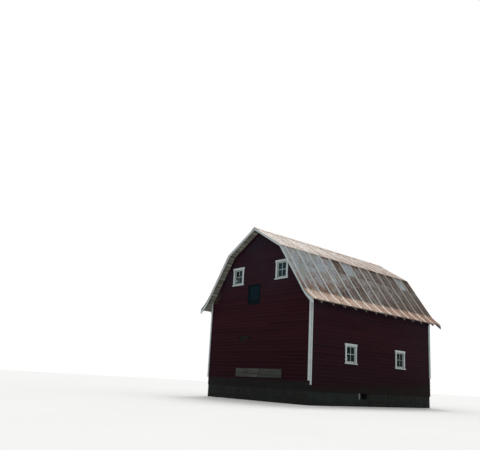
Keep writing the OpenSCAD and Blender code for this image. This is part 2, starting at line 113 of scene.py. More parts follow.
class Slope:
    """One slope of the roof, as stretches from its top to its foot. Each has its length, its start,
    and its pitch at the start and at the end."""

    def __init__(self, name, *stretches):
        self.name = name
        self.stretches = stretches
        self.length = sum(stretch[0] for stretch in stretches)

    def at(self, s):
        """The point and the outward normal at a distance s down the slope."""
        for index, (length, start, pitch, end_pitch) in enumerate(self.stretches):
            if s <= length or index == len(self.stretches) - 1:
                break
            s -= length
        if pitch == end_pitch:
            return start + s * Vector((math.cos(pitch), -math.sin(pitch))), normal_of(pitch)
        turn = pitch + (end_pitch - pitch) * s / length
        return FLARE_CENTRE - FLARE_R * normal_of(turn), normal_of(turn)

    def point(self, s, d):
        """The point at a distance s down the slope and d out from it."""
        point, normal = self.at(s)
        return point + d * normal

    def place(self, side, y, s, d):
        """That point on the barn, at y on the right (side 1) or on the left (side -1)."""
        x, z = self.point(s, d)
        return Vector((side * x, y, z))


ARC_TOP = FLARE_CENTRE - FLARE_R * normal_of(LOWER_PITCH)
ARC_FOOT = FLARE_CENTRE - FLARE_R * normal_of(FLARE_PITCH)
ARC_START = (ARC_TOP - BREAK).length
ARC_L = FLARE_R * (LOWER_PITCH - FLARE_PITCH)
ARC_END = ARC_START + ARC_L
UPPER = Slope("upper", (BREAK_X / math.cos(UPPER_PITCH), Vector((0, RIDGE_Z)), UPPER_PITCH, UPPER_PITCH))
LOWER = Slope(
    "lower",
    (ARC_START, BREAK, LOWER_PITCH, LOWER_PITCH),
    (ARC_L, ARC_TOP, LOWER_PITCH, FLARE_PITCH),
    ((EAVE_X - ARC_FOOT.x) / math.cos(FLARE_PITCH), ARC_FOOT, FLARE_PITCH, FLARE_PITCH),
)


def plumb_end(x, d):
    """How far down the lower slope a line at the distance d reaches the plumb line at x."""
    return ARC_END + (x - ARC_FOOT.x - d * math.sin(FLARE_PITCH)) / math.cos(FLARE_PITCH)


def half_width(z):
    """Half the width of a gable wall at the height z, under the rafters' top."""
    if z >= BREAK.y:
        return (RIDGE_Z - z) / math.tan(UPPER_PITCH)
    low, high = 0.0, LOWER.length
    for _ in range(30):
        middle = (low + high) / 2
        if LOWER.at(middle)[0].y > z:
            low = middle
        else:
            high = middle
    return min(HALF_W, LOWER.at(low)[0].x)


# Walls and their openings

PLAY = 0.002


def inset(box, by):
    left, right, low, high = box
    return left + by, right - by, low + by, high - by


class Wall:
    """One wall: its turn about Z, how far out it stands, its windows and all its holes, each as
    (left, right, low, high)."""

    def __init__(self, name, turn, reach):
        self.name = name
        self.matrix = Matrix.Rotation(math.radians(turn), 4, "Z") @ Matrix.Translation((0, -reach, 0))
        self.outward = self.matrix.to_3x3() @ Vector((0, -1, 0))
        self.holes = []
        self.windows = []

    def at(self, u, z, depth):
        return self.matrix @ Vector((u, depth, z))

    def inside(self, box):
        """A world box as (left, right, low, high, nearest depth, farthest depth)."""
        back = self.matrix.inverted()
        corners = [back @ Vector(corner) for corner in box]
        us, ds, zs = (sorted(c[i] for c in corners) for i in range(3))
        return *us, *zs, *ds


WALLS = [
    Wall("front", 0, HALF_L),
    Wall("right", 90, HALF_W),
    Wall("back", 180, HALF_L),
    Wall("left", -90, HALF_W),
]
FRONT, RIGHT, BACK, LEFT = WALLS


def islands(mesh):
    """The vertices of each separate solid of a mesh."""
    places = {}
    index = [places.setdefault(tuple(round(c, 5) for c in v.co), len(places)) for v in mesh.vertices]
    leader = list(range(len(places)))

    def first(i):
        while leader[i] != i:
            leader[i] = leader[leader[i]]
            i = leader[i]
        return i

    for polygon in mesh.polygons:
        corners = [first(index[v]) for v in polygon.vertices]
        for corner in corners[1:]:
            leader[first(corner)] = first(corners[0])
    groups = {}
    for vertex, place in enumerate(index):
        groups.setdefault(first(place), []).append(vertex)
    return list(groups.values())


def box_of(mesh, group):
    points = [mesh.vertices[i].co.copy() for i in group]
    return [Vector(pick(p[i] for p in points) for i in range(3)) for pick in (min, max)]


def find_openings():
    for node in ("loft_sashes", "low_sashes"):
        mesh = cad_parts[node].data
        for group in islands(mesh):
            box = box_of(mesh, group)
            middle = (box[0] + box[1]) / 2
            if abs(middle.y) > HALF_L - 0.3:
                wall = FRONT if middle.y < 0 else BACK
            else:
                wall = RIGHT if middle.x > 0 else LEFT
            wall.windows.append(inset(wall.inside(box)[:4], -PLAY))
    for wall in WALLS:
        wall.windows.sort()
        wall.holes += wall.windows
    for node, wall in (("hay_hatch", FRONT), ("back_door", BACK)):
        wall.holes.append(inset(wall.inside(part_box(node))[:4], -PLAY))


find_openings()
HATCH_HOLE = FRONT.holes[-1]
DOOR_HOLE = BACK.holes[-1]


# Mesh building

FIELDS = ("tone", "worn", "faded", "pale")
TONE_SHIFT = 37.0

# How far an edge may be out of true, from what angle it is bevelled, and how far on CAD nodes
UNTRUE = 0.0008
SHARP = 0.5
EASED = 0.003


def value_at(field, u, z):
    """A value that is one number, or changes over a wall."""
    return field(u, z) if callable(field) else field


class Shape:
    """Gathers closed solids into one mesh. Each vertex keeps its place along the grain, a tone that
    is the same all over its own board, how worn it is, its fading with any painted light, and how pale it
    is."""

    def __init__(self):
        self.points = []
        self.faces = []
        self.grain = []
        self.fields = {name: [] for name in FIELDS}

    def add(self, points, faces, grain=None, **fields):
        """A solid. Without a grain of its own, that is the place of each point."""
        first = len(self.points)
        self.points += points
        self.faces += [[first + i for i in face] for face in faces]
        self.grain += grain or points
        for name in FIELDS:
            value = fields.get(name, 0.0)
            self.fields[name] += value if isinstance(value, list) else [value] * len(points)

    def sweep(self, rings, grain=None, **fields):
        """A solid through rings that all have the same number of points, closed at both ends."""
        count = len(rings[0])
        faces = [list(range(count)), [len(rings) * count - 1 - i for i in range(count)]]
        for r in range(len(rings) - 1):
            for i in range(count):
                a, b = r * count + i, r * count + (i + 1) % count
                faces.append([a, b, b + count, a + count])
        self.add([p for ring in rings for p in ring], faces, grain, **fields)

    def run(self, outline, ends, at, tone, spread=TONE_SHIFT, **fields):
        """A straight board or moulding, with its (across, depth) outline run from end to end.
        at(along, across, depth) gives the place of a point."""
        shift = tone * spread
        rings = [[at(along, across, depth) for across, depth in outline] for along in ends]
        grain = [(along + shift, across + shift, depth) for along in ends for across, depth in outline]
        self.sweep(rings, grain, tone=tone, **fields)

    def prism(self, outline, near, far, wall, upright=False, tone=0.5, **fields):
        """A board drawn as (u, z) points, between two depths. They and the fields are numbers, or
        change over the board."""
        shift = tone * TONE_SHIFT
        rings = [[wall.at(u, z, value_at(side, u, z)) for u, z in outline] for side in (near, far)]
        grain = [(z + shift, u + shift, 0.0) if upright else (u + shift, z + shift, 0.0) for u, z in outline]
        fields = {name: [value_at(field, u, z) for u, z in outline] * 2 for name, field in fields.items()}
        self.sweep(rings, grain * 2, tone=tone, **fields)

    def plank(self, wall, box, near, far, upright, chance, **fields):
        """A straight board over (left, right, low, high), its long edges a little out of true."""
        left, right, low, high = box
        a, b, c, d = (chance.uniform(-UNTRUE, UNTRUE) for _ in range(4))
        if upright:
            outline = [(left + a, low), (right + b, low), (right + c, high), (left + d, high)]
        else:
            outline = [(left, low + a), (right, low + b), (right, high + c), (left, high + d)]
        self.prism(outline, near, far, wall, upright, chance.random(), **fields)

    def nail(self, place, normal, radius, height):
        """A low domed head."""
        side = normal.orthogonal().normalized()
        up = normal.cross(side)
        points = [
            place + lift * normal + wide * (math.cos(turn) * side + math.sin(turn) * up)
            for lift, wide in ((-0.001, radius), (height * 0.6, radius * 0.75))
            for turn in [math.radians(60 * i) for i in range(6)]
        ]
        faces = [list(range(5, -1, -1))]
        faces += [[i, (i + 1) % 6, 6 + (i + 1) % 6, 6 + i] for i in range(6)]
        faces += [[6 + i, 6 + (i + 1) % 6, 12] for i in range(6)]
        self.add([*points, place + height * normal], faces, tone=0.5)

    def piece(self, name, material, slot, *nodes, bevel=0.0):
        """The mesh as a piece that rides on the barn and stands for the nodes named."""
        mesh = bpy.data.meshes.new(name)
        mesh.from_pydata(self.points, [], self.faces)
        store(mesh, self.grain, self.fields)
        finish_piece(mesh, name, material, nodes, bevel)


def store(mesh, grain, fields):
    """Keeps the grain and the other fields with the vertices of a mesh."""
    vectors = mesh.attributes.new("grain", "FLOAT_VECTOR", "POINT")
    vectors.data.foreach_set("vector", [c for g in grain for c in g])
    for key, values in fields.items():
        mesh.attributes.new(key, "FLOAT", "POINT").data.foreach_set("value", values)


def link(name, data):
    made = bpy.data.objects.new(name, data)
    bpy.context.scene.collection.objects.link(made)
    return made


def finish_piece(mesh, name, material, nodes, bevel):
    work = bmesh.new()
    work.from_mesh(mesh)
    bmesh.ops.recalc_face_normals(work, faces=work.faces)
    if bevel:
        sharp = [e for e in work.edges if e.is_manifold and e.calc_face_angle(0) > SHARP]
        bmesh.ops.bevel(work, geom=sharp, offset=bevel, segments=2, affect="EDGES", clamp_overlap=True)
    bmesh.ops.triangulate(work, faces=[f for f in work.faces if len(f.verts) > 4])
    work.to_mesh(mesh)
    work.free()
    mesh.materials.clear()
    mesh.materials.append(material)
    piece = link(name, mesh)
    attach(piece, ROOT)
    if nodes:
        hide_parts(*nodes)


def soften(node, name, material, axis, change=None):
    """A CAD node with eased edges, its grain along one axis and a tone for each of its solids.
    change(box, point) moves the points of a solid, whose box it is given."""
    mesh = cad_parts[node].data.copy()
    chance = random.Random(node)
    grain, tone = [None] * len(mesh.vertices), [0.0] * len(mesh.vertices)
    order = [axis] + [i for i in range(3) if i != axis]
    for group in islands(mesh):
        own = chance.random()
        box = box_of(mesh, group)
        for i in group:
            place = mesh.vertices[i].co
            if change:
                change(box, place)
            along, across, depth = (place[k] for k in order)
            grain[i] = [along + own * TONE_SHIFT, across + own * TONE_SHIFT, depth]
            tone[i] = own
    store(mesh, grain, {"tone": tone})
    work = bmesh.new()
    work.from_mesh(mesh)
    bmesh.ops.remove_doubles(work, verts=work.verts, dist=1e-5)
    bmesh.ops.dissolve_limit(work, angle_limit=0.01, verts=work.verts, edges=work.edges)
    work.to_mesh(mesh)
    work.free()
    finish_piece(mesh, name, material, (node,), EASED)


# Materials


def srgb(color):
    """A colour that is given as a screen shows it, from 0 to 255."""
    return [c / 255 / 12.92 if c <= 10 else ((c / 255 + 0.055) / 1.055) ** 2.4 for c in color]


class Nodes:
    """Short names for the nodes of a material or a world. Three numbers are a colour as a screen
    shows it."""

    def __init__(self, holder):
        holder.use_nodes = True
        self.tree = holder.node_tree
        self.tree.nodes.clear()

    def put(self, socket, value):
        if isinstance(value, bpy.types.NodeSocket):
            self.tree.links.new(value, socket)
        elif value is not None:
            if socket.type == "RGBA" and len(value) == 3:
                value = (*srgb(value), 1)
            socket.default_value = value

    def node(self, kind, inputs=(), **settings):
        """A node with its settings, and with inputs given in order or by name."""
        node = self.tree.nodes.new("ShaderNode" + kind)
        for key, value in settings.items():
            setattr(node, key, value)
        for key, value in inputs.items() if isinstance(inputs, dict) else enumerate(inputs):
            self.put(node.inputs[key], value)
        return node

    def attribute(self, name):
        return self.node("Attribute", attribute_name=name).outputs["Vector" if name == "grain" else "Fac"]

    @property
    def place(self):
        """The place on the barn, in metres."""
        return self.node("TexCoord").outputs["Object"]

    def axis(self, name):
        return self.node("SeparateXYZ", [self.place]).outputs[name]

    def noise(self, vector, scale, detail, roughness=0.6, distortion=0.0):
        """Noise whose scale is one number, or one for each axis."""
        if hasattr(scale, "__len__"):
            vector = self.node("Mapping", {"Vector": vector, "Scale": scale}).outputs[0]
            scale = 1.0
        given = {"Vector": vector, "Scale": scale, "Detail": detail, "Roughness": roughness}
        return self.node("TexNoise", {**given, "Distortion": distortion}).outputs["Fac"]

    def math(self, operation, a, b=None):
        return self.node("Math", [a, b], operation=operation).outputs[0]

    def sum(self, *terms):
        """The sum of plain values and of (value, factor) pairs."""
        total = None
        for term in terms:
            if isinstance(term, tuple):
                term = self.math("MULTIPLY", *term)
            total = term if total is None else self.math("ADD", total, term)
        return total

    def between(self, value, low, high, to_low=0.0, to_high=1.0):
        """value carried from one range to another, smoothly, and held at its ends."""
        given = [value, low, high, to_low, to_high]
        return self.node("MapRange", given, interpolation_type="SMOOTHSTEP").outputs[0]

    def mix(self, amount, a, b):
        return self.node("Mix", {0: amount, 6: a, 7: b}, data_type="RGBA").outputs[2]

    def coats(self, color, *coats):
        """A colour with others laid over it in turn. Each is (amount, colour), or (value, low,
        high, amount, colour), where the amount is reached as the value goes from low to high."""
        for *given, coat in coats:
            amount = given[0] if len(given) == 1 else self.between(*given[:3], 0, given[3])
            color = self.mix(amount, color, coat)
        return color


class Paint(Nodes):
    """The nodes of a material."""

    def __init__(self, name):
        self.material = bpy.data.materials.new(name)
        super().__init__(self.material)
        self.shader = self.node("BsdfPrincipled")
        self.node("OutputMaterial", [self.shader.outputs[0]])

    def finish(self, color, roughness, height, strength=0.5, distance=0.003, metallic=0.0, specular=0.15):
        bump = self.node("Bump", {"Strength": strength, "Distance": distance, "Height": height})
        for name, value in (
            ("Base Color", color),
            ("Roughness", roughness),
            ("Metallic", metallic),
            ("Specular IOR Level", specular),
            ("Normal", bump.outputs[0]),
        ):
            self.put(self.shader.inputs[name], value)
        return self.material


def siding_paint():
    """Dark red paint: each board its own tone, darker towards the ground, streaks along it, bare
    wood where it is worn, and painted shade where the fading field is below 0."""
    n = Paint("red_siding")
    grain, faded, pale = n.attribute("grain"), n.attribute("faded"), n.attribute("pale")
    z = n.axis("Z")
    streaks = n.noise(grain, (1.2, 26, 1), 6)
    fine = n.noise(grain, (9, 260, 1), 4)
    patches = n.noise(n.place, 0.9, 5)
    broad = n.noise(n.place, 0.55, 3, 0.5)
    red = n.coats(
        n.mix(n.attribute("tone"), (34, 12, 18), (46, 17, 25)),
        (patches, 0.35, 0.7, 0.4, (42, 19, 27)),
        (streaks, 0.45, 0.8, 0.4, (27, 9, 14)),
        (z, 3.6, 0.6, 0.45, (20, 8, 12)),
        (n.math("MULTIPLY", faded, n.between(broad, 0.36, 0.64, 0.55, 1.35)), (38, 32, 41)),
        # Where the fading field is below 0: painted shade, the dark band under the roof's edge on the
        # gables.
        (faded, 0, -1, 0.75, (13, 9, 11)),
        # Painted light on each course: a painted highlight along the board's butt, and painted shade just
        # under the lap of the board above.
        (pale, 0.14, 0.04, 0.45, (62, 40, 46)),
        (pale, 0.70, 0.84, 0.6, (14, 5, 8)),
    )
    above = n.between(z, 1.0, 2.6)
    light_wood = n.mix(above, (38, 33, 31), (70, 60, 54))
    dark_wood = n.mix(above, (23, 21, 20), (44, 35, 32))
    edge = n.sum(n.attribute("worn"), (fine, 0.9), (patches, 0.8), (streaks, 0.7), -1.22)
    bare = n.between(edge, 0.42, 0.62)
    color = n.mix(bare, red, n.mix(streaks, light_wood, dark_wood))
    height = n.sum((streaks, 0.7), (fine, 0.3))
    return n.finish(color, n.between(bare, 0, 1, 0.8, 0.92), height, distance=0.004, specular=0.04)


def old_wood(name, light, dark, on_grain=True, scale=(0.7, 16, 4), vary=0.35, dirt=None):
    """Weathered wood, its grain along each board or, on a plain CAD solid, along the axis that
    has the smallest scale. Dirt lies where the boards are marked as worn."""
    n = Paint(name)
    grain = n.attribute("grain") if on_grain else n.place
    rings = n.noise(grain, scale, 3, distortion=0.6)
    fine = n.noise(grain, [s * 11 for s in scale], 4)
    stain = n.noise(n.place, 2.3, 4)
    color = n.coats(light, (rings, 0.3, 0.7, 1, dark), (fine, 0.45, 0.75, 0.5, dark))
    if on_grain:
        color = n.coats(color, (n.attribute("tone"), 0, 1, vary, dark))
    color = n.coats(color, (stain, 0.5, 0.75, 0.5, dark))
    if dirt:
        marked = n.sum(n.attribute("worn"), (rings, 0.5), -0.25)
        color = n.coats(color, (marked, 0.15, 0.85, 0.4, dirt))
    return n.finish(color, 0.88, n.sum(rings, (fine, 0.5)))


def white_paint(name, light, grimy, line):
    """Old white paint: brush lines along the board, grime, and chips down to grey wood."""
    n = Paint(name)
    grain = n.attribute("grain")
    brush = n.noise(grain, (2.5, 60, 8), 5)
    darkening = n.noise(n.place, 3.5, 5)
    chips = n.noise(grain, (5, 26, 8), 6, 0.68)
    bare = n.between(n.sum(chips, (n.attribute("worn"), 0.35)), 0.64, 0.70)
    color = n.coats(
        light,
        (darkening, 0.4, 0.75, 0.5, grimy),
        (brush, 0.55, 0.8, 0.35, line),
        (bare, (98, 100, 96)),
    )
    height = n.sum((brush, 0.5), (bare, -0.6))
    return n.finish(color, n.between(bare, 0, 1, 0.5, 0.85), height, 0.4, 0.002, specular=0.3)


def old_glass(name, clean, dusty, tint, ior):
    """Old window glass: a little wavy, with a dusty film."""
    n = Paint(name)
    ripple = n.noise(n.place, 5.0, 2, 0.5)
    dust = n.noise(n.place, 11.0, 5)
    for key, value in (("Transmission Weight", 0.85), ("IOR", ior), ("Specular Tint", tint)):
        n.put(n.shader.inputs[key], value)
    color = n.coats(clean, (dust, 0.4, 0.8, 1, dusty))
    return n.finish(color, n.between(dust, 0.4, 0.8, 0.03, 0.22), ripple, 0.15, 0.01)


def hatch_paint():
    n = Paint("hatch_paint")
    grain = n.attribute("grain")
    streaks = n.noise(grain, (1.5, 30, 1), 5)
    fine = n.noise(grain, (9, 240, 1), 4)
    color = n.coats((9, 30, 38), (streaks, 0.35, 0.7, 1, (6, 22, 29)), (n.attribute("worn"), (5, 16, 21)))
    return n.finish(color, 0.8, n.sum(streaks, (fine, 0.4)), specular=0.05)


def concrete():
    """Old concrete, with a streak of lime beside the vent of the long walls."""
    n = Paint("concrete")
    z = n.axis("Z")
    broad = n.noise(n.place, 1.6, 5)
    grit = n.noise(n.place, 60.0, 4)
    lines = n.noise(n.place, (1.5, 1.5, 22), 3)
    off = n.math("ABSOLUTE", n.sum(n.axis("Y"), 1.025, (broad, 0.04), -0.02))
    streak = n.math("MULTIPLY", n.between(off, 0.015, 0.035, 1, 0), n.between(z, 0.22, 0.3))
    color = n.coats(
        (33, 40, 37),
        (broad, 0.3, 0.7, 1, (24, 29, 27)),
        (grit, 0.5, 0.8, 0.4, (24, 28, 25)),
        # Darker and greener towards the ground.
        (n.between(z, 0.0, 0.2, 0.45, 0), (18, 24, 18)),
        (n.math("MULTIPLY", streak, n.between(grit, 0.35, 0.6, 1, 0.4)), (170, 172, 168)),
    )
    return n.finish(color, 0.9, n.sum((broad, 0.6), (grit, 0.2), (lines, 0.2)), distance=0.01)


def field_stone():
    n = Paint("field_stone")
    broad = n.noise(n.place, 7.0, 5)
    grit = n.noise(n.place, 70.0, 5, 0.65)
    color = n.coats(
        n.mix(n.attribute("tone"), (34, 37, 35), (22, 25, 24)),
        (broad, 0.35, 0.7, 0.5, (42, 40, 35)),
        (grit, 0.5, 0.8, 0.4, (24, 26, 24)),
    )
    return n.finish(color, 0.9, n.sum((broad, 0.7), (grit, 0.3)), 0.6, 0.008)


def roofing_metal():
    """Galvanised sheet. worn is how rusty it is, and on the sheets' undersides also painted shade.
    The fading field is sun bleaching with painted light on it: sunlight on the upper slope and the
    sky's reflection on the flare. pale marks the ribs and the edges: paler zinc with a painted highlight."""
    n = Paint("roofing")
    grain, worn = n.attribute("grain"), n.attribute("worn")
    streaks = n.noise(grain, (1.1, 11, 1), 6, 0.62)
    fine = n.noise(grain, (14, 70, 1), 5)
    blotches = n.noise(n.place, 3.0, 6, 0.62)
    speckle = n.noise(n.place, 11.0, 5, 0.7)
    hue = n.noise(n.place, 2.2, 4, 0.65)
    spread = n.sum((streaks, 0.7), (blotches, 0.5), (speckle, 0.9), -1.05)
    rusted = n.sum((spread, 1.3), worn)
    rust = n.between(rusted, 0.25, 0.75)
    faded = n.between(n.sum(n.attribute("faded"), (streaks, 1.5), (speckle, 1.1), -1.3), 0.2, 0.8)
    back = n.between(n.axis("Y"), -2.5, 3.0)
    darkening = n.math("MULTIPLY", n.between(worn, 0.2, 0.5), back)
    zinc = n.coats(
        (145, 157, 164),
        (blotches, 0.35, 0.7, 1, (119, 130, 135)),
        (hue, 0.48, 0.62, 0.75, (124, 132, 121)),
        (hue, 0.46, 0.34, 0.6, (122, 116, 119)),
        (n.math("MULTIPLY", darkening, 0.65), (84, 83, 78)),
    )
    near = n.math("MULTIPLY", n.between(n.axis("Y"), -3.2, -1.2, 0.8, 0), n.between(worn, 0.6, 0.8, 1, 0))
    brown = n.coats(
        (114, 101, 92),
        (streaks, 0.40, 0.60, 1, (58, 48, 43)),
        (hue, 0.46, 0.36, 0.6, (100, 71, 64)),
        (near, n.coats((142, 108, 85), (streaks, 0.35, 0.65, 1, (100, 77, 64)))),
        (n.between(rust, 0.3, 1.0, 0.8, 0.0), n.mix(back, (138, 94, 64), (112, 90, 76))),
        (worn, 0.78, 0.88, 1, (62, 53, 48)),
    )
    # The colour of sun bleaching, whiter on the upper slope than on the flare, with painted light: sunlight
    # on the upper slope and the sky's reflection on the flare.
    high = n.between(n.axis("Z"), 4.1, 4.5)
    dark_chalk_and_light = n.mix(high, (140, 106, 89), (146, 120, 108))
    chalk_and_light = n.coats(n.mix(high, (213, 193, 174), (222, 217, 209)), (rusted, 0.0, 1.0, 1, dark_chalk_and_light))
    # The ribs: paler zinc, with a painted highlight that is brightest on the flare and duller towards the
    # back.
    rib = n.coats(
        n.mix(back, (190, 197, 198), (176, 168, 158)),
        (faded, n.coats((250, 241, 231), (rusted, 0.35, 1.25, 1, (218, 194, 180)))),
        (spread, 0.04, 0.3, 0.35, brown),
    )
    color = n.coats(
        n.mix(rust, zinc, brown),
        (faded, chalk_and_light),
        (fine, 0.5, 0.8, 0.25, (74, 62, 56)),
        (n.attribute("pale"), rib),
        (n.attribute("tone"), 0, 1, 0.10, (84, 74, 68)),
    )
    height = n.sum((blotches, 0.3), (fine, 0.15), (speckle, 0.1))
    gloss = n.between(rust, 0, 1, 0.3, 0.1)
    return n.finish(color, n.between(rust, 0, 1, 0.5, 0.85), height, 0.3, metallic=0.1, specular=gloss)


def iron():
    n = Paint("rusty_iron")
    rust = n.noise(n.place, 40.0, 5)
    color = n.coats((50, 44, 42), (rust, 0.35, 0.7, 1, (92, 58, 40)))
    return n.finish(color, 0.75, rust, distance=0.002, metallic=0.3, specular=0.3)


RED = siding_paint()
SHEATHING_WOOD = old_wood("sheathing_boards", (30, 27, 26), (17, 16, 16))
SCRAP_WOOD = old_wood("scrap_boards", (128, 150, 156), (84, 100, 106))
PATCH_WOOD = old_wood("patch_boards", (72, 75, 73), (46, 47, 45))
SOFFIT_WOOD = old_wood("roof_boards", (168, 167, 155), (92, 91, 84), vary=0.5, dirt=(40, 34, 30))
FRAME_WOOD = old_wood("framing_timber", (66, 59, 52), (42, 37, 32), False, (18, 18, 1.2))
TAIL_WOOD = old_wood("tail_timber", (146, 140, 129), (88, 81, 73))
FLOOR_WOOD = old_wood("floor_timber", (132, 120, 104), (92, 80, 68))
WHITE = white_paint("white_paint", (173, 182, 183), (141, 150, 151), (117, 125, 125))
# A greyer white for the sashes; on the back corner boards it is painted shade.
SASH_AND_SHADED_WHITE = white_paint("sash_paint", (158, 170, 170), (124, 137, 139), (100, 112, 114))
LOW_GLASS = old_glass("low_window_glass", (4, 38, 36), (16, 56, 54), (90, 220, 205), 1.18)
LOFT_GLASS = old_glass("loft_window_glass", (18, 50, 60), (42, 72, 84), (150, 228, 250), 1.38)
TEAL = hatch_paint()
CONCRETE = concrete()
STONE = field_stone()
METAL = roofing_metal()
IRON = iron()


# Boards laid level across a wall, cut round its openings

# A board keeps no strip lower than this where a hole cuts it
THINNEST = 0.004

# The radius and the height of nail heads
SIDING_NAIL = (0.0042, 0.0016)
PATCH_NAIL = (0.006, 0.002)
HINGE_NAIL = (0.006, 0.003)
SHEET_NAIL = (0.009, 0.004)


def course_outlines(left, right, low, high, holes):
    """What is left of a level board after the holes are cut, as outlines of (u, z) points.
    left and right are the board's ends at its foot and at its top."""
    lows, highs = zip(left, right)
    start, end = min(lows[0], highs[0]), max(lows[1], highs[1])
    holes = [hole for hole in holes if hole[2] < high and hole[3] > low]
    cuts = sorted({start, end, *[u for hole in holes for u in hole[:2] if start < u < end]})
    groups = [[]]
    for a, b in zip(cuts, cuts[1:]):
        over = [hole for hole in holes if hole[0] < (a + b) / 2 < hole[1]]
        foot = max([low, *[hole[3] for hole in over if hole[2] <= low]])
        top = min([high, *[hole[2] for hole in over if hole[2] > low]])
        whole = top - foot > THINNEST
        if groups[-1] and not (whole and foot < groups[-1][-1][3] and top > groups[-1][-1][2]):
            groups.append([])
        if whole:
            groups[-1].append((a, b, foot, top))
    return [group_outline(group, lows, highs) for group in groups if group]


def group_outline(group, lows, highs):
    """The outline of stretches that hang together, with the board's own slanting ends."""
    foot, top = [], []
    for a, b, span_low, span_high in group:
        foot += [(u, span_low) for u in steps(max(a, lows[0]), min(b, lows[1]))]
        top += [(u, span_high) for u in steps(max(a, highs[0]), min(b, highs[1]))]
    outline = foot + top[::-1]
    return [p for i, p in enumerate(outline) if p != outline[i - 1]]


def lengths(reach, chance, shortest, longest, gap):
    """A course divided into boards of random length: the ends of each at its foot and its top."""
    joints, at = [], chance.uniform(shortest * 0.4, longest) - reach[0]
    while at < reach[0] - shortest * 0.4:
        joints.append(at)
        at += chance.uniform(shortest, longest)
    lefts = [(-reach[0], -reach[1]), *[(joint + gap / 2,) * 2 for joint in joints]]
    rights = [*[(joint - gap / 2,) * 2 for joint in joints], reach]
    return [(a, b) for a, b in zip(lefts, rights) if b[1] > a[1] and b[0] > a[0]]


def courses(foot, top, pitch, over, width, chance, span, gap):
    """The boards of all courses of a wall: the foot, the top and both ends of each. width(z) is
    half the wall's width at a height."""
    for course in range(round((top - foot) / pitch)):
        low = foot + course * pitch
        high = min(low + pitch + over, top)
        reach = width(low), width(min(high, top - HAIR))
        for left, right in lengths(reach, chance, *span, gap):
            yield low, high, left, right


def even_pitch(length, pitch):
    return length / round(length / pitch)


EXPOSURE = 0.126
LAP = 0.022
BUTT_T = 0.010
FEATHER_T = 0.006
BUTT_OUT = 0.008
BACK_LEAN = 0.006
SWAY = 0.0025
NAIL_PITCH = 0.61
NAIL_UP = 0.028
PLANK_W = 0.185
PLANK_GAP = 0.004

# The shortest and the longest board of a course, and the joints between boards
SIDING_RUN = (1.8, 4.2)
PLANK_RUN = (2.0, 3.8)
DECK_RUN = (2.0, 4.0)
JOINT = 0.002
PLANK_JOINT = 0.003


def siding(wall, foot, top, width, worn, faded, seed, missing=()):
    """Lapped boards over a wall, from foot to top, and the nails in them."""
    boards, nails = Shape(), Shape()
    chance = random.Random(seed)
    pitch = even_pitch(top - foot, EXPOSURE)
    holes = [*wall.holes, *missing]
    for low, high, left, right in courses(foot, top, pitch, LAP, width, chance, SIDING_RUN, JOINT):
        tone = chance.random()
        sag = chance.uniform(-0.0015, 0.0015)
        tilt = SIDING_T - BUTT_T - BUTT_OUT + chance.uniform(-0.001, 0.002)

        def rise(u, z):
            return (z - low) / (pitch + LAP)

        def near(u, z):
            share = rise(u, z)
            lean = share * (SIDING_T - FEATHER_T) + (1 - share) * tilt
            return max(0.0, lean + wave((u, low, seed), 0.9, SWAY * (1 - share)))

        def far(u, z):
            return SIDING_T - (1 - rise(u, z)) * BACK_LEAN

        for outline in course_outlines(left, right, low + sag, high, holes):
            # pale is the rise within the course; the paint lays a painted highlight and painted shade by it.
            boards.prism(outline, near, far, wall, tone=tone, worn=worn, faded=faded, pale=rise)
        for k in range(-6, 7):
            u, z = k * NAIL_PITCH + chance.uniform(-0.01, 0.01), low + NAIL_UP
            clear = not any(a - 0.03 < u < b + 0.03 and c - 0.05 < z < d + 0.02 for a, b, c, d in holes)
            if left[0] + 0.02 < u < right[0] - 0.02 and clear:
                nails.nail(wall.at(u, z, near(u, z)), wall.outward, *SIDING_NAIL)
    return boards, nails


def sheathing(wall, foot, top, width, holes, seed):
    """Level planks behind the siding."""
    shape = Shape()
    chance = random.Random(seed)
    pitch = even_pitch(top - foot, PLANK_W)
    boards = courses(foot, top, pitch, -PLANK_GAP, width, chance, PLANK_RUN, PLANK_JOINT)
    for low, high, left, right in boards:
        tone = chance.random()

        def near(u, z):
            return SIDING_T + HAIR + abs(wave((u, low, seed), 0.7, 0.002))

        for outline in course_outlines(left, right, low, high, holes):
            shape.prism(outline, near, SKIN_T, wall, tone=tone)
    return shape


# Walls. Each has its own wear and its own fading; the gables' fading also carries painted shade under the
# roof's edge


def spot(u, z, middle, wide, high):
    """1 in the middle of an oval and 0 well outside it."""
    return math.exp(-(((u - middle[0]) / wide) ** 2 + ((z - middle[1]) / high) ** 2))


def front_worn(u, z):
    """The front keeps its paint, apart from its foot, the far left under the eave and round the
    missing piece of siding."""
    foot = 0.35 * clamp(1 - (z - BASE_TOP - BARE_BASE_H) / 0.25)
    from_edge = half_width(z) + u
    eave = (1 - smooth(from_edge, 0.10, 0.50)) * smooth(z, 3.56, 3.68) * (1 - smooth(z, 4.0, 4.35))
    return 0.08 + foot + 0.52 * eave + 0.3 * spot(u, z, (-2.25, 3.69), 0.25, 0.07)


def gable_faded_and_shaded(u, z):
    """The paint fades towards the top, and painted shade darkens the siding where it meets the roof."""
    darkening = (1 - smooth(half_width(z) - abs(u), 0.0, 0.14)) * smooth(z, 3.45, 3.6)
    return 0.75 * smooth(z, 3.3, 4.8) - 1.7 * darkening


def right_worn(u, z):
    """The paint has gone from a band at the foot that grows towards the back."""
    from_front = u + HALF_L
    band_top = BASE_TOP + 0.15 + 0.035 * from_front
    return 0.08 + 0.10 * from_front / (2 * HALF_L) + 0.62 * clamp((band_top + 0.24 - z) / 0.40)


def right_faded(u, z):
    return 0.5 * smooth(u, 0.5, HALF_L) * smooth(z, 0.5, 2.5) + 0.1 + 0.35 * smooth(z, 2.8, 3.3)


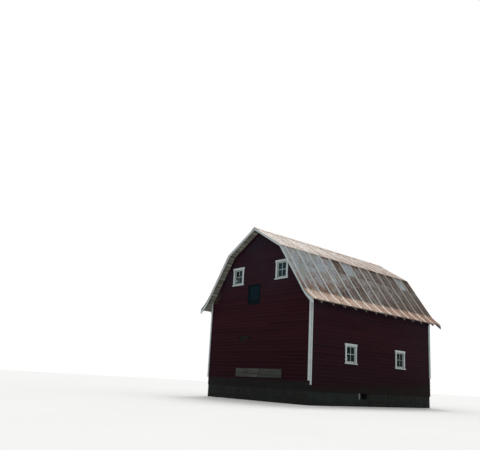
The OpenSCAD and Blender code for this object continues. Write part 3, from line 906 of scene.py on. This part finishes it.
def back_worn(u, z):
    return 0.10 + 0.75 * clamp((BASE_TOP + 0.45 + wave((u, 0, 5), 0.8, 0.1) - z) / 0.15)


def mirrored(field):
    return lambda u, z: field(-u, z)


# Where the front's siding is missing, and where its sheathing is too
MISSING = [(-0.90, -0.31, 2.175, 2.30), (-0.92, -0.66, 2.06, 2.17), (-2.10, -2.02, 3.645, 3.735)]
OPEN = [(-0.38, -0.30, 2.19, 2.29), (-2.13, -1.99, 3.62, 3.76)]
GABLE_TOP = RIDGE_Z - 0.01


def build_walls():
    def side_width(z):
        return HALF_L - SKIN_T

    for seed, (wall, foot, top, width, worn, faded, missing) in enumerate((
        (FRONT, BASE_TOP + BARE_BASE_H, GABLE_TOP, half_width, front_worn, gable_faded_and_shaded, MISSING),
        (BACK, BASE_TOP, GABLE_TOP, half_width, back_worn, gable_faded_and_shaded, ()),
        (RIGHT, BASE_TOP, WALL_TOP, side_width, right_worn, right_faded, ()),
        (LEFT, BASE_TOP, WALL_TOP, side_width, mirrored(right_worn), mirrored(right_faded), ()),
    )):
        node = f"{wall.name}_wall"
        boards, heads = siding(wall, foot, top, width, worn, faded, seed, missing)
        boards.piece(f"{wall.name}_siding", RED, "siding", node)
        heads.piece(f"{wall.name}_siding_nails", IRON, "siding")
        holes = [*wall.holes, *OPEN] if wall is FRONT else wall.holes
        planks = sheathing(wall, BASE_TOP, top, width, holes, seed + 50)
        planks.piece(f"{wall.name}_sheathing", SHEATHING_WOOD, "bare_boards", node)


build_walls()


# Window casings, sashes and bars, and what hangs in the other openings

CASING_W = 0.076
HEAD_H = 0.075
SILL_H = 0.040
SILL_REACH = 0.045
EAR = 0.028
SASH_T = 0.035
STILE_W = 0.038
BOTTOM_RAIL_W = 0.055
BAR_W = 0.020
GLASS_FRONT = 0.016
GLASS_BACK = 0.020


def casing(shape, wall, hole, chance):
    left, right, low, high = hole
    out_left, out_right = left - CASING_W, right + CASING_W
    for a, b in ((out_left, left), (right, out_right)):
        shape.plank(wall, (a, b, low, high - HAIR), -TRIM_T + HAIR, 0, True, chance)
    a, b = out_left - EAR, out_right + EAR
    shape.plank(wall, (a, b, high, high + HEAD_H), -TRIM_T, 0, False, chance)
    sill = [
        (low - HAIR, 0),
        (low - SILL_H, 0),
        (low - SILL_H, -SILL_REACH),
        (low - SILL_H / 4, -SILL_REACH),
        (low - HAIR, -TRIM_T),
    ]
    shape.run(sill, (a, b), wall.at, chance.random())


def sash(frames, bars, wall, hole, chance, bare):
    left, right, low, high = inset(hole, PLAY)
    a, b, foot, top = left + STILE_W, right - STILE_W, low + BOTTOM_RAIL_W, high - STILE_W
    near, far = SKIN_T - SASH_T, SKIN_T
    for ends in ((left, a), (b, right)):
        frames.plank(wall, (*ends, low, high), near, far, True, chance)
    for levels in ((low, foot), (top, high)):
        frames.plank(wall, (a, b, *levels), near + HAIR / 2, far, False, chance)
    u, z, half = (a + b) / 2, (foot + top) / 2, BAR_W / 2
    for front, back in ((near + HAIR, GLASS_FRONT), (GLASS_BACK, far - 3 * HAIR)):
        bars.plank(wall, (u - half, u + half, foot, top), front, back, True, chance, worn=bare)
        for ends in ((a, u - half), (u + half, b)):
            bars.plank(wall, (*ends, z - half, z + half), front + HAIR / 2, back, False, chance, worn=bare)


# The two windows whose bars have lost most of their paint
BARE_BARS = (FRONT.windows[0], RIGHT.windows[1])


def build_windows():
    chance = random.Random(60)
    for name, walls in (("loft", (FRONT, BACK)), ("low", (LEFT, RIGHT))):
        cases, frames, bars = Shape(), Shape(), Shape()
        for wall in walls:
            for hole in wall.windows:
                casing(cases, wall, hole, chance)
                sash(frames, bars, wall, hole, chance, 0.45 if hole in BARE_BARS else 0.0)
        cases.piece(f"{name}_window_casings", WHITE, "trim", f"{name}_casings", bevel=0.002)
        frames.piece(f"{name}_window_frames", SASH_AND_SHADED_WHITE, "trim", f"{name}_sashes", bevel=0.002)
        bars.piece(f"{name}_window_bars", SASH_AND_SHADED_WHITE, "trim")


def build_pane_scraps():
    """A pale scrap of board stuck over one pane in two of the windows."""
    shape = Shape()
    near, far = GLASS_FRONT - 0.006, GLASS_FRONT - 0.0005
    for wall, edges in (
        (FRONT, ((0.004, 0.050), (0.070, 0.030), (0.120, 0.075), (0.105, 0.135), (0.004, 0.160))),
        (RIGHT, ((0.004, 0.030), (0.035, 0.055), (0.050, 0.115), (0.020, 0.130), (0.004, 0.110))),
    ):
        left, _, low, _ = inset(wall.windows[0], PLAY)
        outline = [(left + STILE_W + u, low + BOTTOM_RAIL_W + z) for u, z in edges]
        shape.prism(outline, near, far, wall)
    shape.piece("scraps_in_panes", SCRAP_WOOD, "pale_boards", bevel=0.001)


HATCH_RECESS = 0.015
RIM_T = 0.013
RIM_FOOT = 0.160
RIM_TOP = 0.070
RIM_SIDE = 0.095
DOOR_RECESS = 0.008


def upright_boards(shape, wall, box, near, far, count, chance, **fields):
    left, right, low, high = box
    for i in range(count):
        a = left + (right - left) * i / count + 0.0015
        b = left + (right - left) * (i + 1) / count - 0.0015
        shape.plank(wall, (a, b, low, high), near + chance.uniform(0, 0.002), far, True, chance, **fields)


def build_hatch():
    """Upright boards in a rim of darker battens."""
    box = left, right, low, high = inset(HATCH_HOLE, PLAY)
    chance = random.Random(11)
    shape = Shape()
    upright_boards(shape, FRONT, box, HATCH_RECESS + 0.012, SKIN_T, 4, chance)
    foot, top = low + RIM_FOOT, high - RIM_TOP
    for batten, upright in (
        ((left, right, low, foot), False),
        ((left, right, top, high), False),
        ((left, left + RIM_SIDE, foot + HAIR, top - HAIR), True),
        ((right - RIM_SIDE, right, foot + HAIR, top - HAIR), True),
    ):
        shape.plank(FRONT, batten, HATCH_RECESS, HATCH_RECESS + RIM_T, upright, chance, worn=1.0)
    shape.piece("hatch_boards", TEAL, "hatch", "hay_hatch", bevel=0.0015)


# A hinge strap as (u, z) points from its outer end, and the pull as (z, depth) points
STRAP = [(0.005, -0.022), (0.42, -0.010), (0.44, 0), (0.42, 0.010), (0.005, 0.022)]
PULL_FOOT = DOOR_RECESS + HAIR
PULL = [(-0.075, PULL_FOOT), (-0.055, -0.014), (0.0, -0.018), (0.055, -0.014), (0.075, PULL_FOOT)]


def build_door():
    """Upright red boards, with strap hinges and a pull."""
    left, right, low, high = DOOR_HOLE
    chance = random.Random(12)
    cases, boards, hardware = Shape(), Shape(), Shape()
    casing(cases, BACK, DOOR_HOLE, chance)
    cases.piece("back_door_surround", WHITE, "trim", "back_door_casing", bevel=0.002)

    def worn(u, z):
        return 0.1 + 0.6 * clamp((low + 0.35 - z) / 0.3)

    upright_boards(boards, BACK, inset(DOOR_HOLE, PLAY), DOOR_RECESS, SKIN_T, 6, chance, worn=worn)
    boards.piece("back_door_boards", RED, "siding", "back_door", bevel=0.0015)
    face = DOOR_RECESS - 0.003
    for z in (low + 0.30, high - 0.30):
        hardware.prism([(left + u, z + h) for u, h in STRAP], face, DOOR_RECESS + 0.002, BACK)
        for u in (0.04, 0.17, 0.33):
            hardware.nail(BACK.at(left + u, z, face), BACK.outward, *HINGE_NAIL)
    u, z = right - 0.075, low + 1.02
    inner = [(h * 0.86, d + 0.006) for h, d in PULL[::-1]]
    hardware.run([(z + h, d) for h, d in PULL + inner], (u - 0.008, u + 0.008), BACK.at, 0.5)
    hardware.piece("back_door_hinges_and_pull", IRON, "siding")


def build_patch():
    """The two pale boards over the foot of the front siding; their joint slants."""
    left, right, low, high = FRONT.inside(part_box("front_patch_boards"))[:4]
    joint = 0.27
    shape, nails = Shape(), Shape()
    one = [(left, low), (joint - 0.045, low + 0.004), (joint + 0.025, high - 0.002), (left + 0.008, high)]
    two = [(joint - 0.022, low), (right, low + 0.006), (right - 0.01, high), (joint + 0.045, high - 0.004)]
    for outline, tone in ((one, 0.2), (two, 0.6)):
        shape.prism(outline, -TRIM_T, 0.0, FRONT, tone=tone)
    for u in (left + 0.05, -0.45, joint - 0.09, joint + 0.11, 0.85, right - 0.06):
        for z in (low + 0.05, high - 0.05):
            nails.nail(FRONT.at(u, z, -TRIM_T), FRONT.outward, *PATCH_NAIL)
    shape.piece("front_patch_planks", PATCH_WOOD, "pale_boards", "front_patch_boards", bevel=0.003)
    nails.piece("front_patch_nails", IRON, "pale_boards")


build_windows()
build_pane_scraps()
build_hatch()
build_door()
build_patch()


# Roofing

RIB_FIRST = 0.195
RIB_PITCH = 0.606
RIB_H = 0.024
RIB_HALF = 0.028
SHEET_D = DECK_T + HAIR
SHEET_T = 0.0015
LAP_DOWN = 0.72
LAP_SHIFT = 0.009
OVERHANG = 0.042
ROW_STEP = 0.09
LINE_STEP = 0.13
SHEET_NAIL_STEP = 0.42
SIDE_LIFT = 0.0018

# The rib's section: distance from its middle as a share of its half width, and share of its height
RIB_SIDE = [(-1.0, 0.0), (-0.93, 0.06), (-0.6, 0.9), (-0.5, 1.0)]
RIB_SECTION = RIB_SIDE + [(-share, height) for share, height in RIB_SIDE[::-1]]
RIBS = [RIB_FIRST - ROOF_L + RIB_PITCH * i for i in range(13)]
EDGES = [-ROOF_L, *RIBS, ROOF_L]

# How much more or less rusty than the rest some sheets of the lower slope are, counted from the
# front: first those under the break, then those that run on to the eave
TOP_RUST = {3: -0.12, 5: 0.34, 6: -0.10, 7: 0.1, 8: 0.1, 9: 0.2, 10: 0.15, 11: 0.15, 12: -0.28, 13: 0.2}
FOOT_RUST = {1: -0.14, 2: -0.06, 5: 0.04, 6: 0.10, 8: 0.04, 12: -0.05}


def sheet_lines(low, high, ribs):
    """Places across a sheet with the height of its ribs there."""
    lines = {}
    for rib in ribs:
        for share, height in RIB_SECTION:
            lines[round(rib + share * RIB_HALF, 4)] = height * RIB_H
        for share in (-3.0, -2.2, -1.5, 1.5, 2.2, 3.0):
            lines.setdefault(round(rib + share * RIB_HALF, 4), 0.0)
    edges = sorted([low, high, *[rib + side * RIB_HALF for rib in ribs for side in (-1, 1)]])
    for a, b in zip(edges, edges[1:]):
        if b > a and all(abs((a + b) / 2 - rib) >= RIB_HALF for rib in ribs):
            for y in steps(a, b, LINE_STEP):
                lines.setdefault(round(y, 4), 0.0)
    return [(y, lines[y]) for y in sorted(lines) if low - 1e-4 <= y <= high + 1e-4]


def bleached_and_lit(slope, s):
    """The upper slope and the flare: sun bleaching, with painted light over it, sunlight on the upper slope
    and the sky's reflection on the flare.
    """
    return 1.0 if slope is UPPER else smooth(s, ARC_START + 0.07, ARC_START + 0.23)


def rust(slope, s, y, index, base):
    """How rusty the sheet of that index is, which has a base of its own."""
    back = (y + ROOF_L) / (2 * ROOF_L)
    if slope is UPPER:
        return 0.41 + 0.19 * back + (0.05 + 0.07 * back) * smooth(s, 0.7, 1.6) + base
    level = 0.28 + 0.29 * back + 0.19 * max(0.0, s - 0.8) + base
    level += 0.14 * (1 - smooth(back, 0.12, 0.35)) * smooth(s, 1.2, 1.75)
    level += 0.24 * smooth(index, 2.5, 4) * (1 - smooth(s, 0.04, 0.26))
    return level + bleached_and_lit(slope, s) * (0.47 + 0.33 * back - level)


def sheet(shape, slope, ends, lines, ribs, lift, side, tone, index, base, seed):
    """One pressed sheet between two distances down a slope."""
    rows = steps(*ends, ROW_STEP)
    across = len(lines)
    top, under, grain, worns, fades_and_lights, pales = ([] for _ in range(6))
    for s in rows:
        flare = smooth(s, ARC_START + 0.05, ARC_START + 0.25) if slope is LOWER else 0.0
        wide = RIB_HALF * (1 + 0.3 * flare)
        for y, height in lines:
            buckle = max(0.0, wave((y * 1.7, s, seed), 0.35, 0.0022) + 0.001)
            d = SHEET_D + lift + height + buckle
            top.append(slope.place(side, y, s, d + SHEET_T))
            under.append(slope.place(side, y, s, d))
            grain.append((s + seed * 1.3, y + seed * 3.1, 0))
            off = min(abs(y - rib) for rib in ribs)
            # Beside each rib worn rises, laying a darker band along it: painted shade by the rib's side,
            # given as extra rust.
            beside = smooth(off, RIB_HALF, RIB_HALF * 2) * (1 - smooth(off, RIB_HALF * 2, RIB_HALF * 5))
            worns.append(rust(slope, s, y, index, base) + (0.12 + 0.10 * flare) * beside)
            fades_and_lights.append(bleached_and_lit(slope, s))
            # pale marks each rib for its paler zinc and its painted highlight, stronger and wider over the
            # flare.
            pales.append((0.9 + 0.1 * flare) * (1 - smooth(off, wide, wide * 2.2)))
    total = len(top)
    faces = []
    for i in range(len(rows) - 1):
        for a in range(i * across, (i + 1) * across - 1):
            b = a + across
            faces.append([a, a + 1, b + 1, b])
            faces.append([total + a, total + b, total + b + 1, total + a + 1])
        for a in (i * across, (i + 1) * across - 1):
            faces.append([a, a + across, total + a + across, total + a])
    for j in range(across - 1):
        for a in (j, total - across + j):
            faces.append([a, a + 1, total + a + 1, total + a])
    # The undersides count as heavily rusted, so they render dark: partly rust, partly painted shade under
    # the sheets.
    worns += [0.9] * total
    bare = [0.0] * total
    shape.add(top + under, faces, grain * 2, tone=tone, worn=worns, faded=fades_and_lights + bare, pale=pales + bare)


def sheet_course(slope, side, ends, lift, shift, special, course, chance):
    """One row of sheets from the front to the back, and the nails in their ribs."""
    shape, nails = Shape(), Shape()
    for i, (a, b) in enumerate(zip(EDGES, EDGES[1:])):
        own = [rib + shift for rib in RIBS if a - 0.01 <= rib <= b + 0.01]
        low = a if i == 0 else a - RIB_HALF + shift
        high = b if i == len(EDGES) - 2 else b + RIB_HALF + shift
        base = chance.uniform(-0.05, 0.05) + special.get(i, 0.0)
        stretch = ends[0], ends[1] - chance.uniform(0, 0.008)
        lines = sheet_lines(low, high, own)
        own_lift = lift + SIDE_LIFT * (i % 2)
        sheet(shape, slope, stretch, lines, own, own_lift, side, chance.random(), i, base, i + 20 * course)
    first = 0.22 if slope is UPPER else ends[0] + 0.05
    for rib in RIBS:
        for s in steps(first, ends[1] - 0.04, SHEET_NAIL_STEP):
            x, z = slope.at(s)[1]
            place = slope.place(side, rib + shift, s, SHEET_D + RIB_H + lift + 0.004)
            nails.nail(place, Vector((side * x, 0, z)), *SHEET_NAIL)
    return shape, nails


def build_roofing():
    eave_end = plumb_end(EAVE_X - HAIR, SHEET_D + RIB_H + 0.006)
    chance = random.Random(21)
    for side, name in ((1, "right"), (-1, "left")):
        for row, slope, ends, lift, shift, special, course in (
            ("upper", UPPER, (0.012, UPPER.length + OVERHANG), 0.001, LAP_SHIFT, {}, 2),
            ("lower_top", LOWER, (-0.004, LAP_DOWN), 0.004, LAP_SHIFT, TOP_RUST, 0),
            ("lower_foot", LOWER, (LAP_DOWN - 0.1, eave_end), 0.0, 0.0, FOOT_RUST, 1),
        ):
            shape, nails = sheet_course(slope, side, ends, lift, shift, special, course, chance)
            shape.piece(f"{row}_sheets_{name}", METAL, "roofing", f"{slope.name}_roofing_{name}")
            nails.piece(f"{row}_sheet_nails_{name}", IRON, "roofing")


CAP_WING = 0.150
CAP_D = SHEET_D + RIB_H + 0.0035
CAP_T = 0.0012
HEM_D = 0.030
CAP_OVER = 0.05
CAP_ENDS = [-ROOF_L, -1.75, 0.55, 2.7, ROOF_L]


def cap_point(s, d):
    return UPPER.point(s, d) if s else Vector((0, RIDGE_Z + d / math.cos(UPPER_PITCH)))


def build_ridge_cap():
    """Lengths of folded sheet over the ridge, their edges turned down between the ribs."""
    shape = Shape()
    chance = random.Random(25)
    for i, (a, b) in enumerate(zip(CAP_ENDS, CAP_ENDS[1:])):
        out = CAP_D + 0.0008 * (i % 2)
        outer = [(CAP_WING, HEM_D), (CAP_WING + HAIR, out), (0.0, out)]
        inner = [(0.0, out - CAP_T), (CAP_WING - HAIR, out - CAP_T), (CAP_WING - CAP_T, HEM_D)]
        rings, grain = [], []
        for y in steps(a - (CAP_OVER if i else 0), b, 0.3):
            sag = wave((y, 0, 3), 0.6, 0.002) - 0.002
            right, back = ([cap_point(s, d + sag) for s, d in line] for line in (outer, inner))
            left = [Vector((-p.x, p.y)) for p in right[-2::-1]]
            under = [Vector((-p.x, p.y)) for p in back[::-1]] + back[1:]
            rings.append([Vector((p.x, y, p.y)) for p in right + left + under])
            grain += [(y, p.x + 5, 0) for p in rings[-1]]
        worns = [0.42 + 0.2 * (p.y + ROOF_L) / (2 * ROOF_L) for ring in rings for p in ring]
        # The cap takes the upper slope's bleaching with its painted sunlight, and some of the ribs' paler
        # colour with its painted highlight.
        shape.sweep(rings, grain, tone=chance.random(), worn=worns, faded=1.0, pale=0.35)
    shape.piece("ridge_cap_sheets", METAL, "roofing", "ridge_cap")


build_roofing()
build_ridge_cap()


# Roof boards, rake boards and the other timber that shows

DECK_BOARD_W = 0.16
FLOOR_BOARD_W = 0.19
RIDGE_GAP = 0.008
EDGE_GAP = 0.005
FLARE_SHORT = 0.11
DIRT_W = 0.022
RAKE_D = 0.070
FLARE_DEEPER = 0.065
RAKE_DROP = 0.030
CORNER_GAP = 0.013
LEFT_NARROWER = 0.022


def build_roof_boards():
    """Boards under the sheets. Those of the flare stop short of the rake boards, and take the darker tones:
    painted shade.
    """
    chance = random.Random(31)
    for slope in (UPPER, LOWER):
        shape = Shape()
        edges = steps(0.0, UPPER.length if slope is UPPER else plumb_end(DECK_EAVE_X, DECK_T), DECK_BOARD_W)
        for side in (1, -1):
            for i, (s0, s1) in enumerate(zip(edges, edges[1:])):
                s0, s1 = s0 + (RIDGE_GAP if i == 0 and slope is UPPER else EDGE_GAP), s1 - EDGE_GAP
                reach = DECK_L - (FLARE_SHORT if slope is LOWER and s0 > ARC_START - 0.05 else 0)
                ring = [(s0, 0), (s0 + DIRT_W, 0), (s1 - DIRT_W, 0), (s1, 0), (s1, DECK_T), (s0, DECK_T)]
                for left, right in lengths((reach, reach), chance, *DECK_RUN, JOINT):
                    tone = chance.random()
                    # Painted shade: the flare's boards take only the darker tones.
                    if reach < DECK_L:
                        tone = 0.65 + 0.35 * tone
                    at = partial(slope.place, side)
                    shape.run(ring, (left[0], right[0]), at, tone, 40, worn=[1, 0, 0, 1, 1, 1] * 2)
        shape.piece(f"{slope.name}_deck_boards", SOFFIT_WOOD, "bare_boards", f"{slope.name}_roof_boards")


def rake_end(slope, first, d):
    """Where a rake board's mitre or foot is at the distance d out from the roof line."""
    if slope is UPPER:
        return HAIR - d * math.tan(UPPER_PITCH) if first else UPPER.length + d * math.tan(BREAK_HALF) - HAIR
    return HAIR - d * math.tan(BREAK_HALF) if first else plumb_end(DECK_EAVE_X, d)


def build_rake_boards():
    """White boards along the gable edges, mitred at the ridge and at the break. They deepen over
    the flare, and their top edge drops clear of the sheets there."""
    for end, name in ((-1, "front"), (1, "back")):
        shape = Shape()
        face, back = end * (DECK_L + TRIM_T), end * DECK_L
        for side in (1, -1):
            for slope, tone in ((UPPER, 0.3), (LOWER, 0.7)):
                rings, grain = [], []
                stations = steps(0.0, rake_end(slope, False, 0), 0.12)
                for k, s in enumerate(stations):
                    ring = []
                    flare = smooth(s, ARC_START - 0.1, LOWER.length) if slope is LOWER else 0.0
                    foot = DECK_T - RAKE_D - FLARE_DEEPER * flare
                    top = DECK_T - RAKE_DROP * smooth(flare, 0.0, 0.3)
                    for y, d in ((face, foot), (face, top), (back, top), (back, foot)):
                        at = rake_end(slope, k == 0, d) if k in (0, len(stations) - 1) else s
                        ring.append(slope.place(side, y, at, d))
                        grain.append((s + tone * 11, d + tone * 7 + side, y))
                    rings.append(ring)
                shape.sweep(rings, grain, tone=tone, worn=[0.1, 0.1, 0.5, 0.5] * len(rings))
        shape.piece(f"{name}_rake_planks", WHITE, "trim", f"{name}_rake_boards", bevel=0.002)


def build_floors():
    chance = random.Random(41)
    for node in ("ground_floor", "loft_floor"):
        low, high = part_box(node)
        shape = Shape()
        edges = steps(low.y, high.y, FLOOR_BOARD_W)
        for a, b in zip(edges, edges[1:]):
            ring = [(a + HAIR, low.z), (b - HAIR, low.z), (b - HAIR, high.z), (a + HAIR, high.z)]
            shape.run(ring, (low.x, high.x), lambda *place: Vector(place), chance.random())
        shape.piece(f"{node}_planks", FLOOR_WOOD, "bare_boards", node)


def part_corner(box, point):
    """Opens the joint between the two boards of a corner, and narrows the front left board."""
    if box[1].x - box[0].x < 0.03:
        if abs(point.y) > HALF_L - 0.005:
            point.y -= math.copysign(CORNER_GAP, point.y)
    elif box[0].x < 0 and box[0].y < 0 and point.x > -HALF_W + 0.03:
        point.x -= LEFT_NARROWER


build_roof_boards()
build_rake_boards()
build_floors()
soften("rafter_tails", "rafter_tail_timber", TAIL_WOOD, 0)
soften("front_corner_boards", "front_corner_planks", WHITE, 2, part_corner)
# The back corner boards take the greyer sash paint: painted shade on them.
soften("back_corner_boards", "back_corner_planks", SASH_AND_SHADED_WHITE, 2, part_corner)


# Field stones in the foundation, standing a little proud of it

STONE_REACH = 0.018
STONE_JOINT = 0.014
STONE_LEVELS = (0.003, 0.125, 0.275, BASE_TOP - 0.004)
STONE_RUN = (0.13, 0.36)
STONE_UNEVEN = 0.016

# How far the stones pass the gable walls' corners, and where they stop on the left wall, with
# the vent there. The right wall mirrors it
STONES_PAST = 0.24
STONES_END = 0.55
VENT = (0.59, 0.925, 0.24, 0.5)


def rubble(shape, wall, face, left, right, hole, seed):
    """Courses of uneven stones over a stretch of a foundation wall, whose face is at a depth."""
    chance = random.Random(seed)
    for row, (low, high) in enumerate(zip(STONE_LEVELS, STONE_LEVELS[1:])):
        at = left
        while at < right - 0.06:
            a, b = at, min(at + chance.uniform(*STONE_RUN), right)
            at = b
            foot = low + (chance.uniform(-STONE_UNEVEN, STONE_UNEVEN) if row else 0)
            top = high + (chance.uniform(-STONE_UNEVEN, STONE_UNEVEN) if row < 2 else 0)
            proud = chance.uniform(0.006, STONE_REACH)
            tone = chance.random()
            if hole and hole[0] < b and hole[1] > a and hole[2] < high and hole[3] > low:
                continue
            u, z = (a + b) / 2, (foot + top) / 2
            outline = []
            for k in range(10):
                turn = math.radians(36 * k + 18)
                c, s = math.cos(turn), math.sin(turn)
                reach = (1 + 0.06 * math.sin(k * 2.4 + seed + a * 9)) / max(abs(c), abs(s)) ** 0.55
                p = u + (b - a - STONE_JOINT) / 2 * c * reach
                q = z + (top - foot - STONE_JOINT) / 2 * s * reach
                outline.append((clamp(p, left, right), clamp(q, 0.003, BASE_TOP - 0.003)))
            rings = [
                [wall.at(u + share * (p - u), z + share * (q - z), face - out) for p, q in outline]
                for share, out in ((1.0, -0.012), (1.0, 0.002), (0.88, proud * 0.75), (0.55, proud))
            ]
            shape.sweep(rings, tone=tone)


def build_stones():
    """Rubble all over the gable walls, and over the stretch of the long walls near the front."""
    for wall in WALLS:
        left, right, _, _, face, _ = wall.inside(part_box(f"foundation_{wall.name}"))
        vent = None
        if wall in (FRONT, BACK):
            left, right = left - STONES_PAST, right + STONES_PAST
        elif wall is RIGHT:
            left, vent = -STONES_END, (-VENT[1], -VENT[0], *VENT[2:])
        else:
            right, vent = STONES_END, VENT
        shape = Shape()
        rubble(shape, wall, face, left + 0.01, right - 0.01, vent, len(wall.name))
        shape.piece(f"foundation_stones_{wall.name}", STONE, "foundation")


build_stones()


# Materials of the CAD pieces that stay

for material, nodes in (
    (CONCRETE, [f"foundation_{wall.name}" for wall in WALLS]),
    (FRAME_WOOD, [f"{wall.name}_wall_frame" for wall in WALLS]),
    (FRAME_WOOD, ["ground_joists", "loft_ledgers", "loft_joists", "ridge_board", "rafter_gussets"]),
    (FRAME_WOOD, ["upper_rafters", "lower_rafters"]),
    (LOFT_GLASS, ["loft_glass"]),
    (LOW_GLASS, ["low_glass"]),
):
    for node in nodes:
        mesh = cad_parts[node].data
        mesh.materials.clear()
        mesh.materials.append(material)


# Stage, light and camera

FLOOR_REACH = 300.0
SKY_LEVEL = 0.75
KEY_FROM = Vector((-0.35, 0.45, 0.85))
KEY_LEVEL = 1.4
KEY_SOFTNESS = math.radians(25)
CAMERA_PLACE = Vector((14.423, -16.966, 0.603))
CAMERA_RIGHT = Vector((0.6581, 0.7509, 0.0551))
CAMERA_AHEAD = Vector((-0.7424, 0.6350, 0.2135))
SENSOR_W = 36.0
LENS = 40.19
SHIFT_UP = 40 / 480


def build_stage():
    n = Paint("pale_floor")
    speckle = n.noise(n.place, 0.4, 3, 0.5)
    color = n.mix(speckle, (0.80, 0.80, 0.79, 1), (0.84, 0.84, 0.83, 1))
    mesh = bpy.data.meshes.new("floor")
    corners = [(-1, -1), (1, -1), (1, 1), (-1, 1)]
    mesh.from_pydata([(FLOOR_REACH * x, FLOOR_REACH * y, 0) for x, y in corners], [], [(0, 1, 2, 3)])
    mesh.materials.append(n.finish(color, 0.9, speckle, 0.1, 0.01, specular=0.1))
    link("floor", mesh)


def build_world():
    """A plain sky that lights at one level, and shows white to the camera and through glass."""
    world = bpy.data.worlds.new("studio")
    bpy.context.scene.world = world
    n = Nodes(world)
    path = n.node("LightPath").outputs
    white = n.math("MAXIMUM", path["Is Camera Ray"], path["Is Transmission Ray"])
    level = n.between(white, 0, 1, SKY_LEVEL, 1.0)
    n.node("OutputWorld", [n.node("Background", [(1, 1, 1, 1), level]).outputs[0]])


def build_key():
    light = bpy.data.lights.new("key", "SUN")
    light.energy = KEY_LEVEL
    light.angle = KEY_SOFTNESS
    link("key", light).rotation_euler = KEY_FROM.to_track_quat("Z", "Y").to_euler()


def build_camera():
    data = bpy.data.cameras.new("camera")
    data.sensor_width = SENSOR_W
    data.lens = LENS
    data.shift_y = SHIFT_UP
    data.clip_end = 1000
    camera = link("camera", data)
    back = -CAMERA_AHEAD.normalized()
    right = (CAMERA_RIGHT - CAMERA_RIGHT.dot(back) * back).normalized()
    turn = Matrix((right, back.cross(right), back)).transposed().to_4x4()
    camera.matrix_world = Matrix.Translation(CAMERA_PLACE) @ turn
    bpy.context.scene.camera = camera


build_stage()
build_world()
build_key()
build_camera()
bpy.context.scene.view_settings.view_transform = "Standard"
